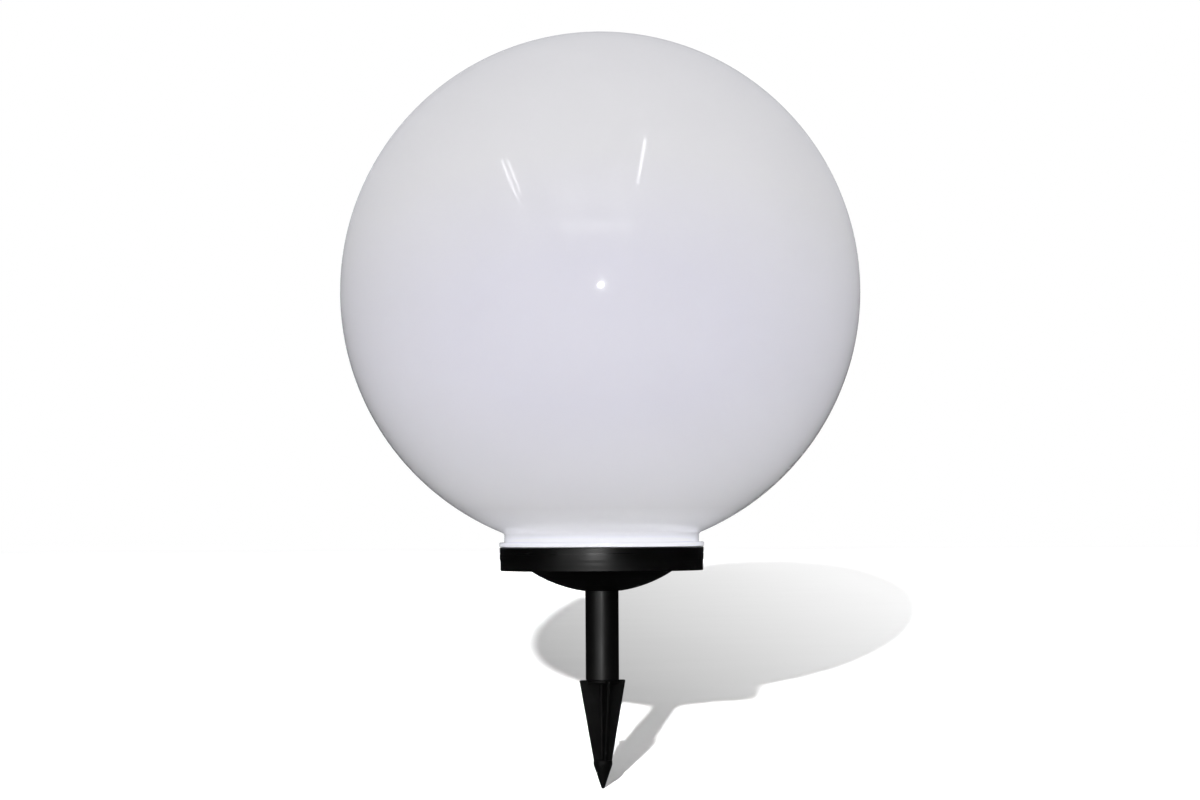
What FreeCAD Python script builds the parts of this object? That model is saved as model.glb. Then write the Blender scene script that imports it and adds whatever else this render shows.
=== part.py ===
import FreeCAD, Part
import math
import os
import re
import Sketcher
from FreeCAD import Vector

# Ball path light: an opal globe screwed on a round two-shell base, which stands on a short pole
# and a ground spike. Millimetres, +Z up, origin at the tip of the spike, -Y towards the viewer.

# Driving sizes, one sheet cell each: name, value, meaning.
SIZES = [
    # Ground spike
    ("spike_nose_radius", 1.8, "rounding of the spike's tip"),
    ("spike_nose_height", 23, "height of the pointed nose"),
    ("spike_collar_radius", 9.1, "collar above the nose"),
    ("spike_collar_height", 4, "height of that collar"),
    ("spike_fin_height", 77, "height of the four fins"),
    ("spike_fin_foot_radius", 9, "reach of a fin at the collar"),
    ("spike_fin_top_radius", 23, "reach of a fin at its top"),
    ("spike_fin_thickness", 3, "thickness of a fin"),
    ("spike_fin_turn", 17, "turn of the fins about the pole, degrees"),
    ("spike_core_foot_radius", 3.2, "round core between the fins, at the collar"),
    ("spike_core_top_radius", 4.2, "round core between the fins, at the shoulder"),
    ("spike_shoulder_height", 3, "disc under the pole's end"),
    ("spike_plug_height", 34, "plug that enters the pole"),
    ("spike_plug_wall", 2.6, "wall of the hollow plug"),
    ("spike_plug_chamfer", 1.5, "lead-in of the plug"),
    # Pole
    ("pole_radius", 16, "outside radius of the pole"),
    ("pole_wall", 2.4, "wall of the pole's tube"),
    ("pole_step", 0.8, "how far the pole's upper end is reduced"),
    ("pole_exposed_length", 85.5, "pole between the spike and the base"),
    ("pole_chamfer", 0.5, "broken edge of the tube's ends"),
    # Fits
    ("push_fit", 0.1, "radial clearance of a push fit"),
    ("loose_fit", 0.3, "clearance round a piece that drops into its seat"),
    ("overlap", 0.6, "how far an added feature runs into its parent"),
    ("overrun", 1, "how far a cut runs past the surface"),
    # Base, lower shell
    ("housing_wall", 2.6, "wall of both base shells"),
    ("edge_chamfer", 0.7, "broken edges of the base shells"),
    ("socket_depth", 35, "depth of the pole's socket"),
    ("socket_wall", 2.8, "wall of the pole's socket"),
    ("socket_chamfer", 0.4, "lead-in of the socket's mouth"),
    ("mouth_land", 3.6, "flat land round the socket's mouth, where the bowl is cut flat"),
    ("rim_flat_width", 28.4, "flat rim between the bowl and the band"),
    ("bowl_depth", 20.8, "depth of the bowl, before it is cut flat at the mouth"),
    ("lower_rim_step", 0.6, "how far the lower shell stands in from the ring"),
    ("lower_rim_height", 10.6, "height of the lower shell's band"),
    ("seam_flange_width", 6.4, "width of the flanges that meet at the seam"),
    ("seam_flange_height", 3, "height of those flanges"),
    ("housing_seal_width", 2.6, "width of the seal in the seam"),
    ("housing_seal_height", 1.6, "height of the seal in the seam"),
    ("bowl_rib_thickness", 2, "thickness of the ribs in the bowl"),
    ("bowl_rib_margin", 9, "bowl left free outside those ribs"),
    # Base, upper shell
    ("ring_land", 2.5, "rim of the ring outside the gasket"),
    ("ring_height", 12, "height of the ring above the seam"),
    ("ring_groove_height", 6, "height of the fine groove above the seam"),
    ("ring_groove_width", 0.7, "width of that groove"),
    ("ring_groove_depth", 0.5, "depth of that groove"),
    ("spigot_height", 22, "height of the spigot above the ring"),
    ("deck_thickness", 2.6, "deck that closes the spigot"),
    ("globe_seal_width", 5, "width of the gasket under the globe"),
    ("globe_seal_thickness", 1.6, "thickness of that gasket"),
    ("globe_seal_proud", 0.4, "how far it stands out of its recess"),
    # Globe
    ("globe_radius", 250, "outside radius of the ball"),
    ("globe_wall", 2.5, "wall of the ball"),
    ("neck_radius", 93.5, "outside radius of the neck"),
    ("neck_wall", 3, "wall of the neck"),
    ("neck_height", 8.4, "neck between the lip and the ball"),
    ("neck_fillet", 1.5, "rounding where the neck meets the ball"),
    ("lip_overhang", 0.3, "how far the lip stands out over the ring"),
    ("lip_thickness", 4.3, "thickness of the lip"),
    # Screw lock of the globe
    ("thread_lead", 30, "rise of the globe in one turn"),
    ("lug_angle", 40, "arc of each lug, degrees"),
    ("lug_thickness", 3, "thickness of a lug"),
    ("lug_reach", 3.3, "how far a lug stands in from the neck's wall"),
    ("lug_height", 5, "height of a lug's low end above the lip's face"),
    ("lug_stop_angle", 1.5, "free turn between a lug and its stop, degrees"),
    ("ramp_angle", 60, "arc of each ramp, degrees"),
    ("ramp_thickness", 3, "thickness of a ramp"),
    ("lug_side_gap", 1.2, "clearance between a lug and the spigot"),
    ("ramp_side_gap", 0.9, "clearance between a ramp and the neck"),
    ("ramp_gap", 0.3, "height clearance between a lug and its ramp"),
    ("stop_width", 3, "width of the stop at a ramp's low end"),
    # Housing screws
    ("housing_post_bite", 0.3, "how far the screw posts run into the flanges"),
    ("housing_screw_shank_radius", 1.9, "shank of a housing screw"),
    ("housing_screw_shank_length", 15, "length of that shank"),
    ("housing_screw_head_radius", 3.5, "head of a housing screw"),
    ("housing_screw_head_height", 2.3, "height of that head"),
    ("housing_screw_sink", 4, "depth of the counterbore over the head"),
    ("housing_post_radius", 5.3, "post round a housing screw"),
    # Small screws inside
    ("small_screw_shank_radius", 1.2, "shank of a small screw"),
    ("small_screw_head_radius", 2.3, "head of a small screw"),
    ("small_screw_head_height", 1.5, "height of that head"),
    ("small_post_radius", 3.4, "post round a small screw"),
    ("recess_width", 0.7, "width of the cross recess in a head"),
    # Solar panels
    ("panel_side_room", 2.25, "deck left at the ends of a solar panel"),
    ("panel_edge_room", 18.4, "room between a solar panel's outer edge and the spigot's wall"),
    ("panel_gap", 2, "deck between a panel and the lamp cover"),
    ("panel_recess", 1.2, "depth of the recess that holds a panel"),
    ("panel_board_thickness", 1.2, "carrier board of a panel"),
    ("panel_window_thickness", 1.6, "clear cover of a panel"),
    ("panel_rim", 2, "rim of the clear cover round the cells"),
    ("cell_spacing", 0.8, "gap between two solar cells"),
    ("cell_thickness", 0.3, "thickness of a solar cell"),
    # Lamp
    ("lamp_board_radius", 14, "board that carries the light-emitting diodes"),
    ("lamp_board_thickness", 1.6, "thickness of that board"),
    ("diode_circle", 7, "radius on which the diodes stand"),
    ("diode_radius", 2.5, "radius of a diode"),
    ("diode_height", 5, "straight part of a diode"),
    ("lamp_screw_circle", 11.4, "radius of the lamp board's screws"),
    ("lamp_cover_radius", 17, "outside radius of the clear dome"),
    ("lamp_cover_wall", 1.8, "wall of the clear dome"),
    ("lamp_cover_height", 7, "straight wall under the dome"),
    ("lamp_flange_radius", 23, "flange of the clear dome"),
    ("lamp_flange_thickness", 2, "thickness of that flange"),
    ("lamp_seal_width", 1.4, "seal under the flange"),
    ("lamp_seal_height", 1, "height of that seal"),
    ("lamp_wire_hole_radius", 3, "wire hole under the lamp board"),
    # Control board
    ("control_side_room", 14.8, "room between the control board and the spigot's wall"),
    ("control_length", 60, "length of the control board"),
    ("control_width", 34, "width of the control board"),
    ("control_thickness", 1.6, "thickness of the control board"),
    ("control_post_height", 6, "posts between the deck and the board"),
    ("control_screw_inset", 4, "inset of the board's screws from its edges"),
    ("chip_length", 10, "length of the charge controller"),
    ("chip_width", 6, "width of the charge controller"),
    ("chip_thickness", 1.8, "thickness of the charge controller"),
    ("chip_lead_width", 0.6, "width of a chip's lead"),
    ("chip_lead_length", 1.4, "how far a lead stands out of the chip"),
    ("chip_lead_pitch", 2.2, "pitch of the leads"),
    ("chip_lead_thickness", 0.5, "thickness of a lead"),
    ("coil_radius", 4.5, "flange of the wound coil"),
    ("coil_height", 6, "height of the wound coil"),
    ("coil_waist_radius", 3.4, "windings of the coil"),
    ("coil_flange_height", 1, "height of a coil flange"),
    ("can_radius", 3.2, "radius of a capacitor"),
    ("can_height", 8, "height of a capacitor"),
    ("can_pitch", 9, "distance between the two capacitors"),
    # Battery
    ("battery_side_room", 12.5, "room between the battery box and the spigot's wall"),
    ("cell_radius", 7.1, "radius of a rechargeable cell"),
    ("cell_length", 49, "length of a cell's can"),
    ("cell_nub_radius", 2.7, "positive nub of a cell"),
    ("cell_nub_length", 1.3, "length of that nub"),
    ("cell_clearance", 0.5, "room between a cell and what is beside it"),
    ("battery_wall", 2, "wall of the battery box"),
    ("battery_cover_thickness", 2.4, "cover of the battery box"),
    ("battery_post_height", 5, "posts between the deck and the box's columns"),
    ("battery_column_length", 9, "column at each end of the box"),
    ("battery_column_width", 10, "width of such a column"),
    ("contact_thickness", 0.5, "sheet of a battery contact"),
    ("contact_width", 10, "width of a battery contact"),
    ("contact_spring_radius", 3, "sprung cup of a contact"),
    ("contact_spring_length", 2, "length of that cup"),
    ("contact_tab_width", 3, "solder tab of a contact"),
    ("contact_tab_length", 3, "how far a tab stands out of the box"),
    # Switch
    ("switch_bush_radius", 7, "bush that passes through the lower shell"),
    ("switch_bush_drop", 4, "how far the bush stands below the shell"),
    ("switch_mouth_height", 1, "ledge at the bush's mouth"),
    ("switch_body_radius", 9, "body of the switch above the shell"),
    ("switch_body_height", 6.4, "height of that body"),
    ("switch_ceiling", 2.6, "solid top of the switch"),
    ("switch_terminal_width", 2.4, "width of a terminal blade"),
    ("switch_terminal_thickness", 0.6, "thickness of a terminal blade"),
    ("switch_terminal_height", 3, "height of a terminal blade"),
    ("switch_terminal_offset", 3, "distance of a blade from the switch's axis"),
    ("button_radius", 4.4, "stem of the push button"),
    ("button_flange_radius", 5.1, "flange that keeps the button in"),
    ("button_flange_height", 1.2, "height of that flange"),
    ("button_travel", 1.5, "travel of the push button"),
    ("button_pressed_proud", 1.1, "how far the pressed button still stands out of the bush"),
    ("button_round", 0.8, "rounding of the button's end"),
    ("switch_nut_flats", 18, "width across the nut's flats"),
    ("switch_nut_thickness", 2, "thickness of the nut"),
    ("switch_seal_radius", 9.6, "washer between nut and shell"),
    ("switch_seal_thickness", 1, "thickness of that washer"),
    ("switch_spring_radius", 3.2, "mean radius of the return spring"),
    ("switch_spring_wire", 0.3, "wire radius of the return spring"),
    ("switch_spring_turns", 4.5, "turns of the return spring"),
    # Wires
    ("wire_radius", 0.6, "radius of an insulated wire"),
    ("wire_bend", 2, "radius of a wire's bends"),
    ("wire_spread", 1.3, "half the distance between the two wires of a pair"),
    ("wire_drop", 2.6, "height of the runs below the deck"),
    ("wire_hole_radius", 2.6, "wire hole under a panel"),
    ("wire_hole_inset", 6, "inset of that hole from the panel's end"),
    ("wire_margin", 4, "room that a run leaves beside the board or the box"),
]

# Worked-out sizes and heights, one sheet cell each: name, formula.
PLACES = [
    ("spike_top", "spike_nose_height + spike_collar_height + spike_fin_height"),
    ("fin_bottom", "spike_nose_height + spike_collar_height"),
    ("pole_bore", "pole_radius - pole_wall"),
    ("plug_radius", "pole_bore - push_fit"),
    ("pole_spigot", "pole_radius - pole_step"),
    ("pole_length", "pole_exposed_length + socket_depth - loose_fit"),
    ("base_bottom", "spike_top + pole_exposed_length"),
    ("socket_radius", "pole_spigot + push_fit"),
    ("socket_outer", "socket_radius + socket_wall"),
    ("neck_bore", "neck_radius - neck_wall"),
    ("globe_seal_outer", "neck_bore + globe_seal_width"),
    ("ring_radius", "globe_seal_outer + ring_land"),
    ("lip_radius", "ring_radius + lip_overhang"),
    ("lower_rim_radius", "ring_radius - lower_rim_step"),
    ("flange_inner", "lower_rim_radius - seam_flange_width"),
    ("bowl_radius", "lower_rim_radius - rim_flat_width"),
    ("bowl_rib_reach", "bowl_radius - bowl_rib_margin"),
    ("bowl_ball", "(bowl_radius ^ 2 + bowl_depth ^ 2) / (2 * bowl_depth)"),
    ("mouth_radius", "socket_radius + socket_chamfer + mouth_land"),
    ("bowl_centre", "sqrt(bowl_ball ^ 2 - mouth_radius ^ 2)"),
    ("rim_floor", "bowl_centre - bowl_ball + bowl_depth"),
    ("bowl_inner_ball", "bowl_ball - housing_wall"),
    ("bowl_inner_radius", "sqrt(bowl_inner_ball ^ 2 - (bowl_centre - rim_floor - housing_wall) ^ 2)"),
    ("socket_root", "bowl_centre - sqrt(bowl_inner_ball ^ 2 - socket_outer ^ 2)"),
    ("bowl_mid_ball", "bowl_ball - housing_wall / 2"),
    ("rib_foot_radius", "socket_outer - overlap"),
    ("rib_foot", "bowl_centre - sqrt(bowl_mid_ball ^ 2 - rib_foot_radius ^ 2)"),
    ("rib_toe", "bowl_centre - sqrt(bowl_mid_ball ^ 2 - bowl_rib_reach ^ 2)"),
    ("lower_height", "rim_floor + lower_rim_height"),
    ("seam", "base_bottom + lower_height"),
    ("housing_seal_inner", "flange_inner + (seam_flange_width - housing_seal_width) / 2"),
    ("ring_top", "seam + ring_height"),
    ("seal_recess_depth", "globe_seal_thickness - globe_seal_proud"),
    ("ring_ceiling", "ring_height - seal_recess_depth - housing_wall"),
    ("lug_radius", "neck_bore - lug_reach"),
    ("ramp_radius", "neck_bore - ramp_side_gap"),
    ("spigot_radius", "lug_radius - lug_side_gap"),
    ("spigot_inner", "spigot_radius - housing_wall"),
    ("deck_height", "ring_height + spigot_height"),
    ("deck_top", "seam + deck_height"),
    ("deck_underside", "deck_top - deck_thickness"),
    ("lip_bottom", "ring_top + globe_seal_proud"),
    ("neck_top", "lip_thickness + neck_height"),
    ("globe_centre", "neck_top + sqrt(globe_radius ^ 2 - neck_radius ^ 2)"),
    ("globe_bore", "globe_radius - globe_wall"),
    ("neck_bore_top", "globe_centre - sqrt(globe_bore ^ 2 - neck_bore ^ 2)"),
    ("ramp_height", "ring_height + globe_seal_proud + lug_height + lug_thickness + ramp_gap"),
    ("housing_screw_spot", "(flange_inner - housing_post_radius + housing_post_bite) / sqrt(2)"),
    ("panel_inner_edge", "lamp_flange_radius + panel_gap"),
    ("panel_outer_edge", "spigot_inner - panel_edge_room"),
    ("panel_width", "panel_outer_edge - panel_inner_edge"),
    ("panel_offset", "panel_inner_edge + panel_width / 2"),
    ("panel_length", "2 * (sqrt(spigot_inner ^ 2 - panel_outer_edge ^ 2) - panel_side_room)"),
    ("panel_seat", "deck_top - panel_recess"),
    ("panel_wire_spot", "panel_length / 2 - wire_hole_inset"),
    ("cell_area_width", "panel_width - 2 * panel_rim"),
    ("lamp_cover_bore", "lamp_cover_radius - lamp_cover_wall"),
    ("lamp_seal_inner", "lamp_cover_radius - lamp_seal_width / 2"),
    ("lamp_cover_screw_circle", "(lamp_cover_radius + lamp_flange_radius) / 2"),
    ("lamp_board_top", "deck_top + lamp_board_thickness"),
    ("small_pilot_radius", "small_screw_shank_radius + push_fit"),
    ("control_side", "sqrt(spigot_inner ^ 2 - (control_length / 2) ^ 2)"),
    ("control_offset", "control_side - control_width / 2 - control_side_room"),
    ("control_top", "deck_underside - control_post_height"),
    ("control_bottom", "control_top - control_thickness"),
    ("control_spot_across", "control_length / 2 - control_screw_inset"),
    ("control_spot_out", "control_width / 2 - control_screw_inset"),
    ("battery_inner_length", "cell_length + cell_nub_length + contact_spring_length + 2 * contact_thickness"),
    ("battery_inner_width", "4 * cell_radius + 3 * cell_clearance"),
    ("battery_inner_height", "2 * cell_radius + cell_clearance"),
    ("battery_length", "battery_inner_length + 2 * battery_wall"),
    ("battery_width", "battery_inner_width + 2 * battery_wall"),
    ("battery_height", "battery_inner_height + battery_wall"),
    ("battery_reach", "battery_length / 2 + battery_column_length"),
    ("battery_side", "sqrt(spigot_inner ^ 2 - battery_reach ^ 2)"),
    ("battery_offset", "battery_side - battery_width / 2 - battery_side_room"),
    ("battery_spot", "battery_length / 2 + battery_column_length / 2"),
    ("battery_screw_length", "battery_height + battery_cover_thickness"),
    ("cell_across", "cell_radius + cell_clearance / 2"),
    ("contact_tab_out", "battery_length / 2 + contact_tab_length"),
    ("contact_tab_level", "battery_inner_height / 4"),
    ("switch_offset", "(bowl_radius + flange_inner) / 2"),
    ("button_tip", "0 - switch_bush_drop - button_pressed_proud - button_travel"),
    ("switch_cavity", "button_flange_radius + loose_fit"),
    ("switch_ledge", "0 - switch_bush_drop + switch_mouth_height"),
    ("switch_body_top", "housing_wall + switch_body_height"),
    ("switch_cavity_top", "switch_body_top - switch_ceiling"),
    ("switch_terminal_top", "base_bottom + rim_floor + switch_body_top + switch_terminal_height"),
    ("spring_foot", "switch_ledge + button_flange_height"),
    ("spring_height", "switch_cavity_top - spring_foot"),
    ("high_run", "deck_underside - wire_drop"),
    ("board_end", "control_length / 2 - control_screw_inset - wire_margin / 2"),
    ("rear_wire_row", "0 - control_offset + 3 * wire_margin / 2"),
    ("housing_pilot_top", "housing_screw_sink + housing_screw_shank_length - lower_rim_height + push_fit"),
]

SIZE_NAMES = {name for name, number, meaning in SIZES}
PLACE_NAMES = {name for name, text in PLACES}

# Counts of what repeats
FINS = 2
BOWL_RIBS = 6
LUGS = 3
SOLAR_CELLS = 8
DIODES = 6
LAMP_SCREWS = 2
LAMP_COVER_SCREWS = 3
CHIP_LEADS = 4
NUT_SIDES = 6

# Turn that stands the lamp's screws between its diodes, degrees
LAMP_SCREW_TURN = 30

# Most of a wire's run that one bend may take
BEND_SHARE = 0.45

doc = FreeCAD.newDocument("path_light")
sizes = doc.addObject("Spreadsheet::Sheet", "Sizes")
places = doc.addObject("Spreadsheet::Sheet", "Places")
SUBPARTS = []


def fill_sheets():
    """Write the driving sizes and the worked-out places into their sheets."""
    for row, (name, number, meaning) in enumerate(SIZES, start=1):
        sizes.set(f"A{row}", name)
        sizes.set(f"B{row}", str(number))
        sizes.set(f"C{row}", meaning)
        sizes.setAlias(f"B{row}", name)
    for row, (name, text) in enumerate(PLACES, start=1):
        places.set(f"A{row}", name)
        places.set(f"B{row}", "=" + formula(text, inside_places=True))
        places.setAlias(f"B{row}", name)
    doc.recompute()


def formula(text, inside_places=False):
    """Address each named size in a formula by the sheet that holds it."""
    def address(match):
        word = match.group(0)
        if word in SIZE_NAMES:
            return "Sizes." + word
        if word in PLACE_NAMES and not inside_places:
            return "Places." + word
        return word
    return re.sub(r"[a-z][a-z0-9_]*", address, text)


def value(text):
    """Work out a formula as a plain number."""
    return float(sizes.evalExpression(formula(text)))


def new_body(label, z="0", x="0", y="0", turn="0"):
    """Start a sub-part whose own origin stands at a named place."""
    body = doc.addObject("PartDesign::Body", label)
    body.Label = label
    place(body, z, x, y, turn)
    SUBPARTS.append(body)
    return body


def place(item, z="0", x="0", y="0", turn="0"):
    """Bind an object's Placement to the sheets; turn is about +Z in degrees."""
    item.Placement = FreeCAD.Placement(Vector(), FreeCAD.Rotation(Vector(0, 0, 1), value(turn)))
    for axis, text in (("x", x), ("y", y), ("z", z)):
        if text != "0":
            item.setExpression(f".Placement.Base.{axis}", formula(text))
    if turn != "0":
        item.setExpression(".Placement.Rotation.Angle", formula(turn))


def sketch_on(body, name, role="XY_Plane", lift="0"):
    """Attach a new sketch to one of the body's own origin planes, lifted along its normal."""
    drawn = body.newObject("Sketcher::SketchObject", name)
    plane = [item for item in body.Origin.OriginFeatures if item.Role == role][0]
    drawn.AttachmentSupport = [(plane, "")]
    drawn.MapMode = "FlatFace"
    if lift != "0":
        drawn.setExpression(".AttachmentOffset.Base.z", formula(lift))
    return drawn


def pin_point(drawn, geo, end, x, y):
    """Bind one point of a sketch to its two coordinates."""
    for text, kind, axis in ((x, "DistanceX", -2), (y, "DistanceY", -1)):
        if text == "0":
            drawn.addConstraint(Sketcher.Constraint("PointOnObject", geo, end, axis))
        else:
            row = drawn.addConstraint(Sketcher.Constraint(kind, -1, 1, geo, end, value(text)))
            drawn.setExpression(f"Constraints[{row}]", formula(text))


def arc_between(start, end, turn, radius):
    """Give the arc of under a half circle that leaves start and turns left or right to end."""
    chord = end - start
    side = Vector(-chord.y, chord.x, 0).normalize()
    rise = math.sqrt(radius ** 2 - (chord.Length / 2) ** 2)
    centre = (start + end) / 2 + side * (rise if turn == "left" else -rise)
    first, last = (start, end) if turn == "left" else (end, start)
    angles = [math.atan2(point.y - centre.y, point.x - centre.x) for point in (first, last)]
    return Part.ArcOfCircle(Part.Circle(centre, Vector(0, 0, 1), radius), *angles)


def outline(drawn, points):
    """Draw a closed outline bound to the sheets.

    A point is (x, y), or (x, y, turn, radius) where the edge that leaves it is an arc."""
    corners = [Vector(value(point[0]), value(point[1]), 0) for point in points]
    edges = []
    for index, point in enumerate(points):
        start = corners[index]
        end = corners[(index + 1) % len(points)]
        if len(point) == 2:
            edges.append((drawn.addGeometry(Part.LineSegment(start, end)), 1, 2))
        else:
            geo = drawn.addGeometry(arc_between(start, end, point[2], value(point[3])))
            edges.append((geo, 1, 2) if point[2] == "left" else (geo, 2, 1))
    for index, point in enumerate(points):
        geo, first, last = edges[index]
        before = edges[index - 1]
        drawn.addConstraint(Sketcher.Constraint("Coincident", before[0], before[2], geo, first))
        pin_point(drawn, geo, first, point[0], point[1])
        if len(point) > 2:
            row = drawn.addConstraint(Sketcher.Constraint("Radius", geo, value(point[3])))
            drawn.setExpression(f"Constraints[{row}]", formula(point[3]))


def circle(drawn, radius, x="0", y="0"):
    """Draw a circle bound to the sheets."""
    round_edge = Part.Circle(Vector(value(x), value(y), 0), Vector(0, 0, 1), value(radius))
    geo = drawn.addGeometry(round_edge)
    pin_point(drawn, geo, 3, x, y)
    row = drawn.addConstraint(Sketcher.Constraint("Radius", geo, value(radius)))
    drawn.setExpression(f"Constraints[{row}]", formula(radius))


def rectangle(length, width, x="0", y="0"):
    """Give the four corners of a rectangle centred on a point."""
    left, right = f"{x} - ({length}) / 2", f"{x} + ({length}) / 2"
    near, far = f"{y} - ({width}) / 2", f"{y} + ({width}) / 2"
    return [(left, near), (right, near), (right, far), (left, far)]


def feature(body, kind, name, drawn, length=None):
    """Add a sketch-based feature to a body."""
    made = body.newObject("PartDesign::" + kind, name)
    made.Profile = drawn
    if length is not None:
        made.setExpression("Length", formula(length))
    return made


def revolve(body, name, points, kind="Revolution", axis="V_Axis"):
    """Turn an outline in the XZ plane about one of its own axes."""
    drawn = sketch_on(body, name + "_outline", "XZ_Plane")
    outline(drawn, points)
    made = feature(body, kind, name, drawn)
    made.ReferenceAxis = (drawn, [axis])
    made.Angle = 360
    return made


def revolve_beside(body, name, points, offset):
    """Turn an outline about an upright line that stands off the body's axis.

    The points' x counts from that line."""
    drawn = sketch_on(body, name + "_outline", "XZ_Plane")
    foot = Vector(value(offset), 0, 0)
    line = drawn.addGeometry(Part.LineSegment(foot, foot + Vector(0, value(offset), 0)), True)
    pin_point(drawn, line, 1, offset, "0")
    pin_point(drawn, line, 2, offset, offset)
    outline(drawn, [(f"{offset} + {point[0]}",) + tuple(point[1:]) for point in points])
    made = feature(body, "Revolution", name, drawn)
    made.ReferenceAxis = (drawn, ["Axis0"])
    made.Angle = 360
    return made


def pad(body, name, points, height, lift="0", role="XY_Plane", middle=False):
    """Raise a closed outline along its plane's normal, or to both sides of the plane."""
    drawn = sketch_on(body, name + "_outline", role, lift)
    outline(drawn, points)
    made = feature(body, "Pad", name, drawn, height)
    made.Midplane = middle
    return made


def pad_circles(body, name, radius, height, spots=(("0", "0"),), lift="0", role="XY_Plane"):
    """Raise round bosses at the given spots."""
    drawn = sketch_on(body, name + "_outline", role, lift)
    for x, y in spots:
        circle(drawn, radius, x, y)
    return feature(body, "Pad", name, drawn, height)


def cut(body, name, points, depth, lift):
    """Cut a closed outline straight down from a level."""
    drawn = sketch_on(body, name + "_outline", "XY_Plane", lift)
    outline(drawn, points)
    return feature(body, "Pocket", name, drawn, depth)


def cut_circles(body, name, radius, depth, lift, spots=(("0", "0"),)):
    """Cut round holes straight down from a level."""
    drawn = sketch_on(body, name + "_outline", "XY_Plane", lift)
    for x, y in spots:
        circle(drawn, radius, x, y)
    return feature(body, "Pocket", name, drawn, depth)


def cut_ring(body, name, inner, outer, depth, lift):
    """Cut a ring-shaped groove straight down from a level."""
    drawn = sketch_on(body, name + "_outline", "XY_Plane", lift)
    circle(drawn, inner)
    circle(drawn, outer)
    return feature(body, "Pocket", name, drawn, depth)


def pad_ring(body, name, inner, outer, height, lift="0"):
    """Raise a flat ring."""
    drawn = sketch_on(body, name + "_outline", "XY_Plane", lift)
    circle(drawn, inner)
    circle(drawn, outer)
    return feature(body, "Pad", name, drawn, height)


def around(body, name, originals, count, angle=360):
    """Repeat features round the body's Z axis and make them the body's result."""
    made = body.newObject("PartDesign::PolarPattern", name)
    made.Originals = originals
    upright = [item for item in body.Origin.OriginFeatures if item.Role == "Z_Axis"][0]
    made.Axis = (upright, [""])
    made.Angle = angle
    made.Occurrences = count
    body.Tip = made
    return made


def helix_strip(body, name, points, angle):
    """Sweep an outline in the XZ plane up the globe's screw line through an angle."""
    drawn = sketch_on(body, name + "_outline", "XZ_Plane")
    outline(drawn, points)
    made = feature(body, "AdditiveHelix", name, drawn)
    made.ReferenceAxis = (drawn, ["V_Axis"])
    made.Mode = "pitch-height-angle"
    made.setExpression("Pitch", formula("thread_lead"))
    made.setExpression("Height", formula(f"thread_lead * {angle} / 360"))
    return made


def round_edges(body, name, base, radius, height, fillet):
    """Round the circular edges of a feature that have this radius and height."""
    doc.recompute()
    found = []
    for number, edge in enumerate(base.Shape.Edges, start=1):
        if edge.Degenerated:
            continue
        curve = edge.Curve
        if isinstance(curve, Part.Circle) and math.isclose(curve.Radius, value(radius), abs_tol=1e-4):
            if math.isclose(curve.Center.z, value(height), abs_tol=1e-4):
                found.append(f"Edge{number}")
    made = body.newObject("PartDesign::Fillet", name)
    made.Base = (base, found)
    made.setExpression("Radius", formula(fillet))
    return made


def ring_piece(label, inner, outer, height, z, y="0"):
    """Make a flat ring that is a piece of its own, such as a seal."""
    body = new_body(label, z, "0", y)
    pad_ring(body, label + "_ring", inner, outer, height)


def corner_spots(across, out):
    """Give the four corners of a rectangle about the origin."""
    return [(f"{i} * {across}", f"{j} * {out}") for i in (-1, 1) for j in (-1, 1)]


def ring_spots(radius, count, start=0):
    """Give spots at even angles on a circle about the origin; start is in degrees."""
    spots = []
    for index in range(count):
        angle = start + 360 * index / count
        spots.append((f"{radius} * cos({angle})", f"{radius} * sin({angle})"))
    return spots


def screws(label, kind, shank_length, spots, z, x="0", y="0", upwards=True):
    """Make a group of equal cross-recessed screws; z is the face under their heads."""
    body = new_body(label, z, x, y)
    head, head_height, shank = kind + "_head_radius", kind + "_head_height", kind + "_shank_radius"
    if upwards:
        pad_circles(body, label + "_head", head, head_height, spots, f"0 - {head_height}")
        pad_circles(body, label + "_shank", shank, shank_length, spots)
        recess_level = f"0 - {head_height} / 2"
    else:
        pad_circles(body, label + "_head", head, head_height, spots)
        pad_circles(body, label + "_shank", shank, shank_length, spots, f"0 - {shank_length}")
        recess_level = f"{head_height} + overrun"
    for number, (px, py) in enumerate(spots):
        for arm, size in enumerate(((head, "recess_width"), ("recess_width", head))):
            bar = rectangle(size[0], size[1], px, py)
            cut(body, f"{label}_recess_{number}_{arm}", bar, f"{head_height} / 2 + overrun", recess_level)


def ground_spike():
    """The spike: pointed nose, four fins, a shoulder under the pole and a hollow plug inside it."""
    body = new_body("ground_spike", turn="spike_fin_turn")
    revolve(body, "spike_stem", [
        ("0", "0", "left", "spike_nose_radius"),
        ("spike_nose_radius", "spike_nose_radius"),
        ("spike_collar_radius", "spike_nose_height"),
        ("spike_collar_radius", "fin_bottom"),
        ("spike_core_foot_radius", "fin_bottom"),
        ("spike_core_top_radius", "spike_top - spike_shoulder_height"),
        ("pole_spigot", "spike_top - spike_shoulder_height"),
        ("pole_spigot", "spike_top"),
        ("plug_radius", "spike_top"),
        ("plug_radius", "spike_top + spike_plug_height - spike_plug_chamfer"),
        ("plug_radius - spike_plug_chamfer", "spike_top + spike_plug_height"),
        ("plug_radius - spike_plug_wall", "spike_top + spike_plug_height"),
        ("plug_radius - spike_plug_wall", "spike_top + spike_plug_wall"),
        ("0", "spike_top + spike_plug_wall"),
    ])
    blade = pad(body, "spike_blade", [
        ("0 - spike_fin_foot_radius", "fin_bottom"),
        ("spike_fin_foot_radius", "fin_bottom"),
        ("spike_fin_top_radius", "spike_top"),
        ("0 - spike_fin_top_radius", "spike_top"),
    ], "spike_fin_thickness", role="XZ_Plane", middle=True)
    around(body, "spike_blades", [blade], FINS, angle=90)


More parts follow.
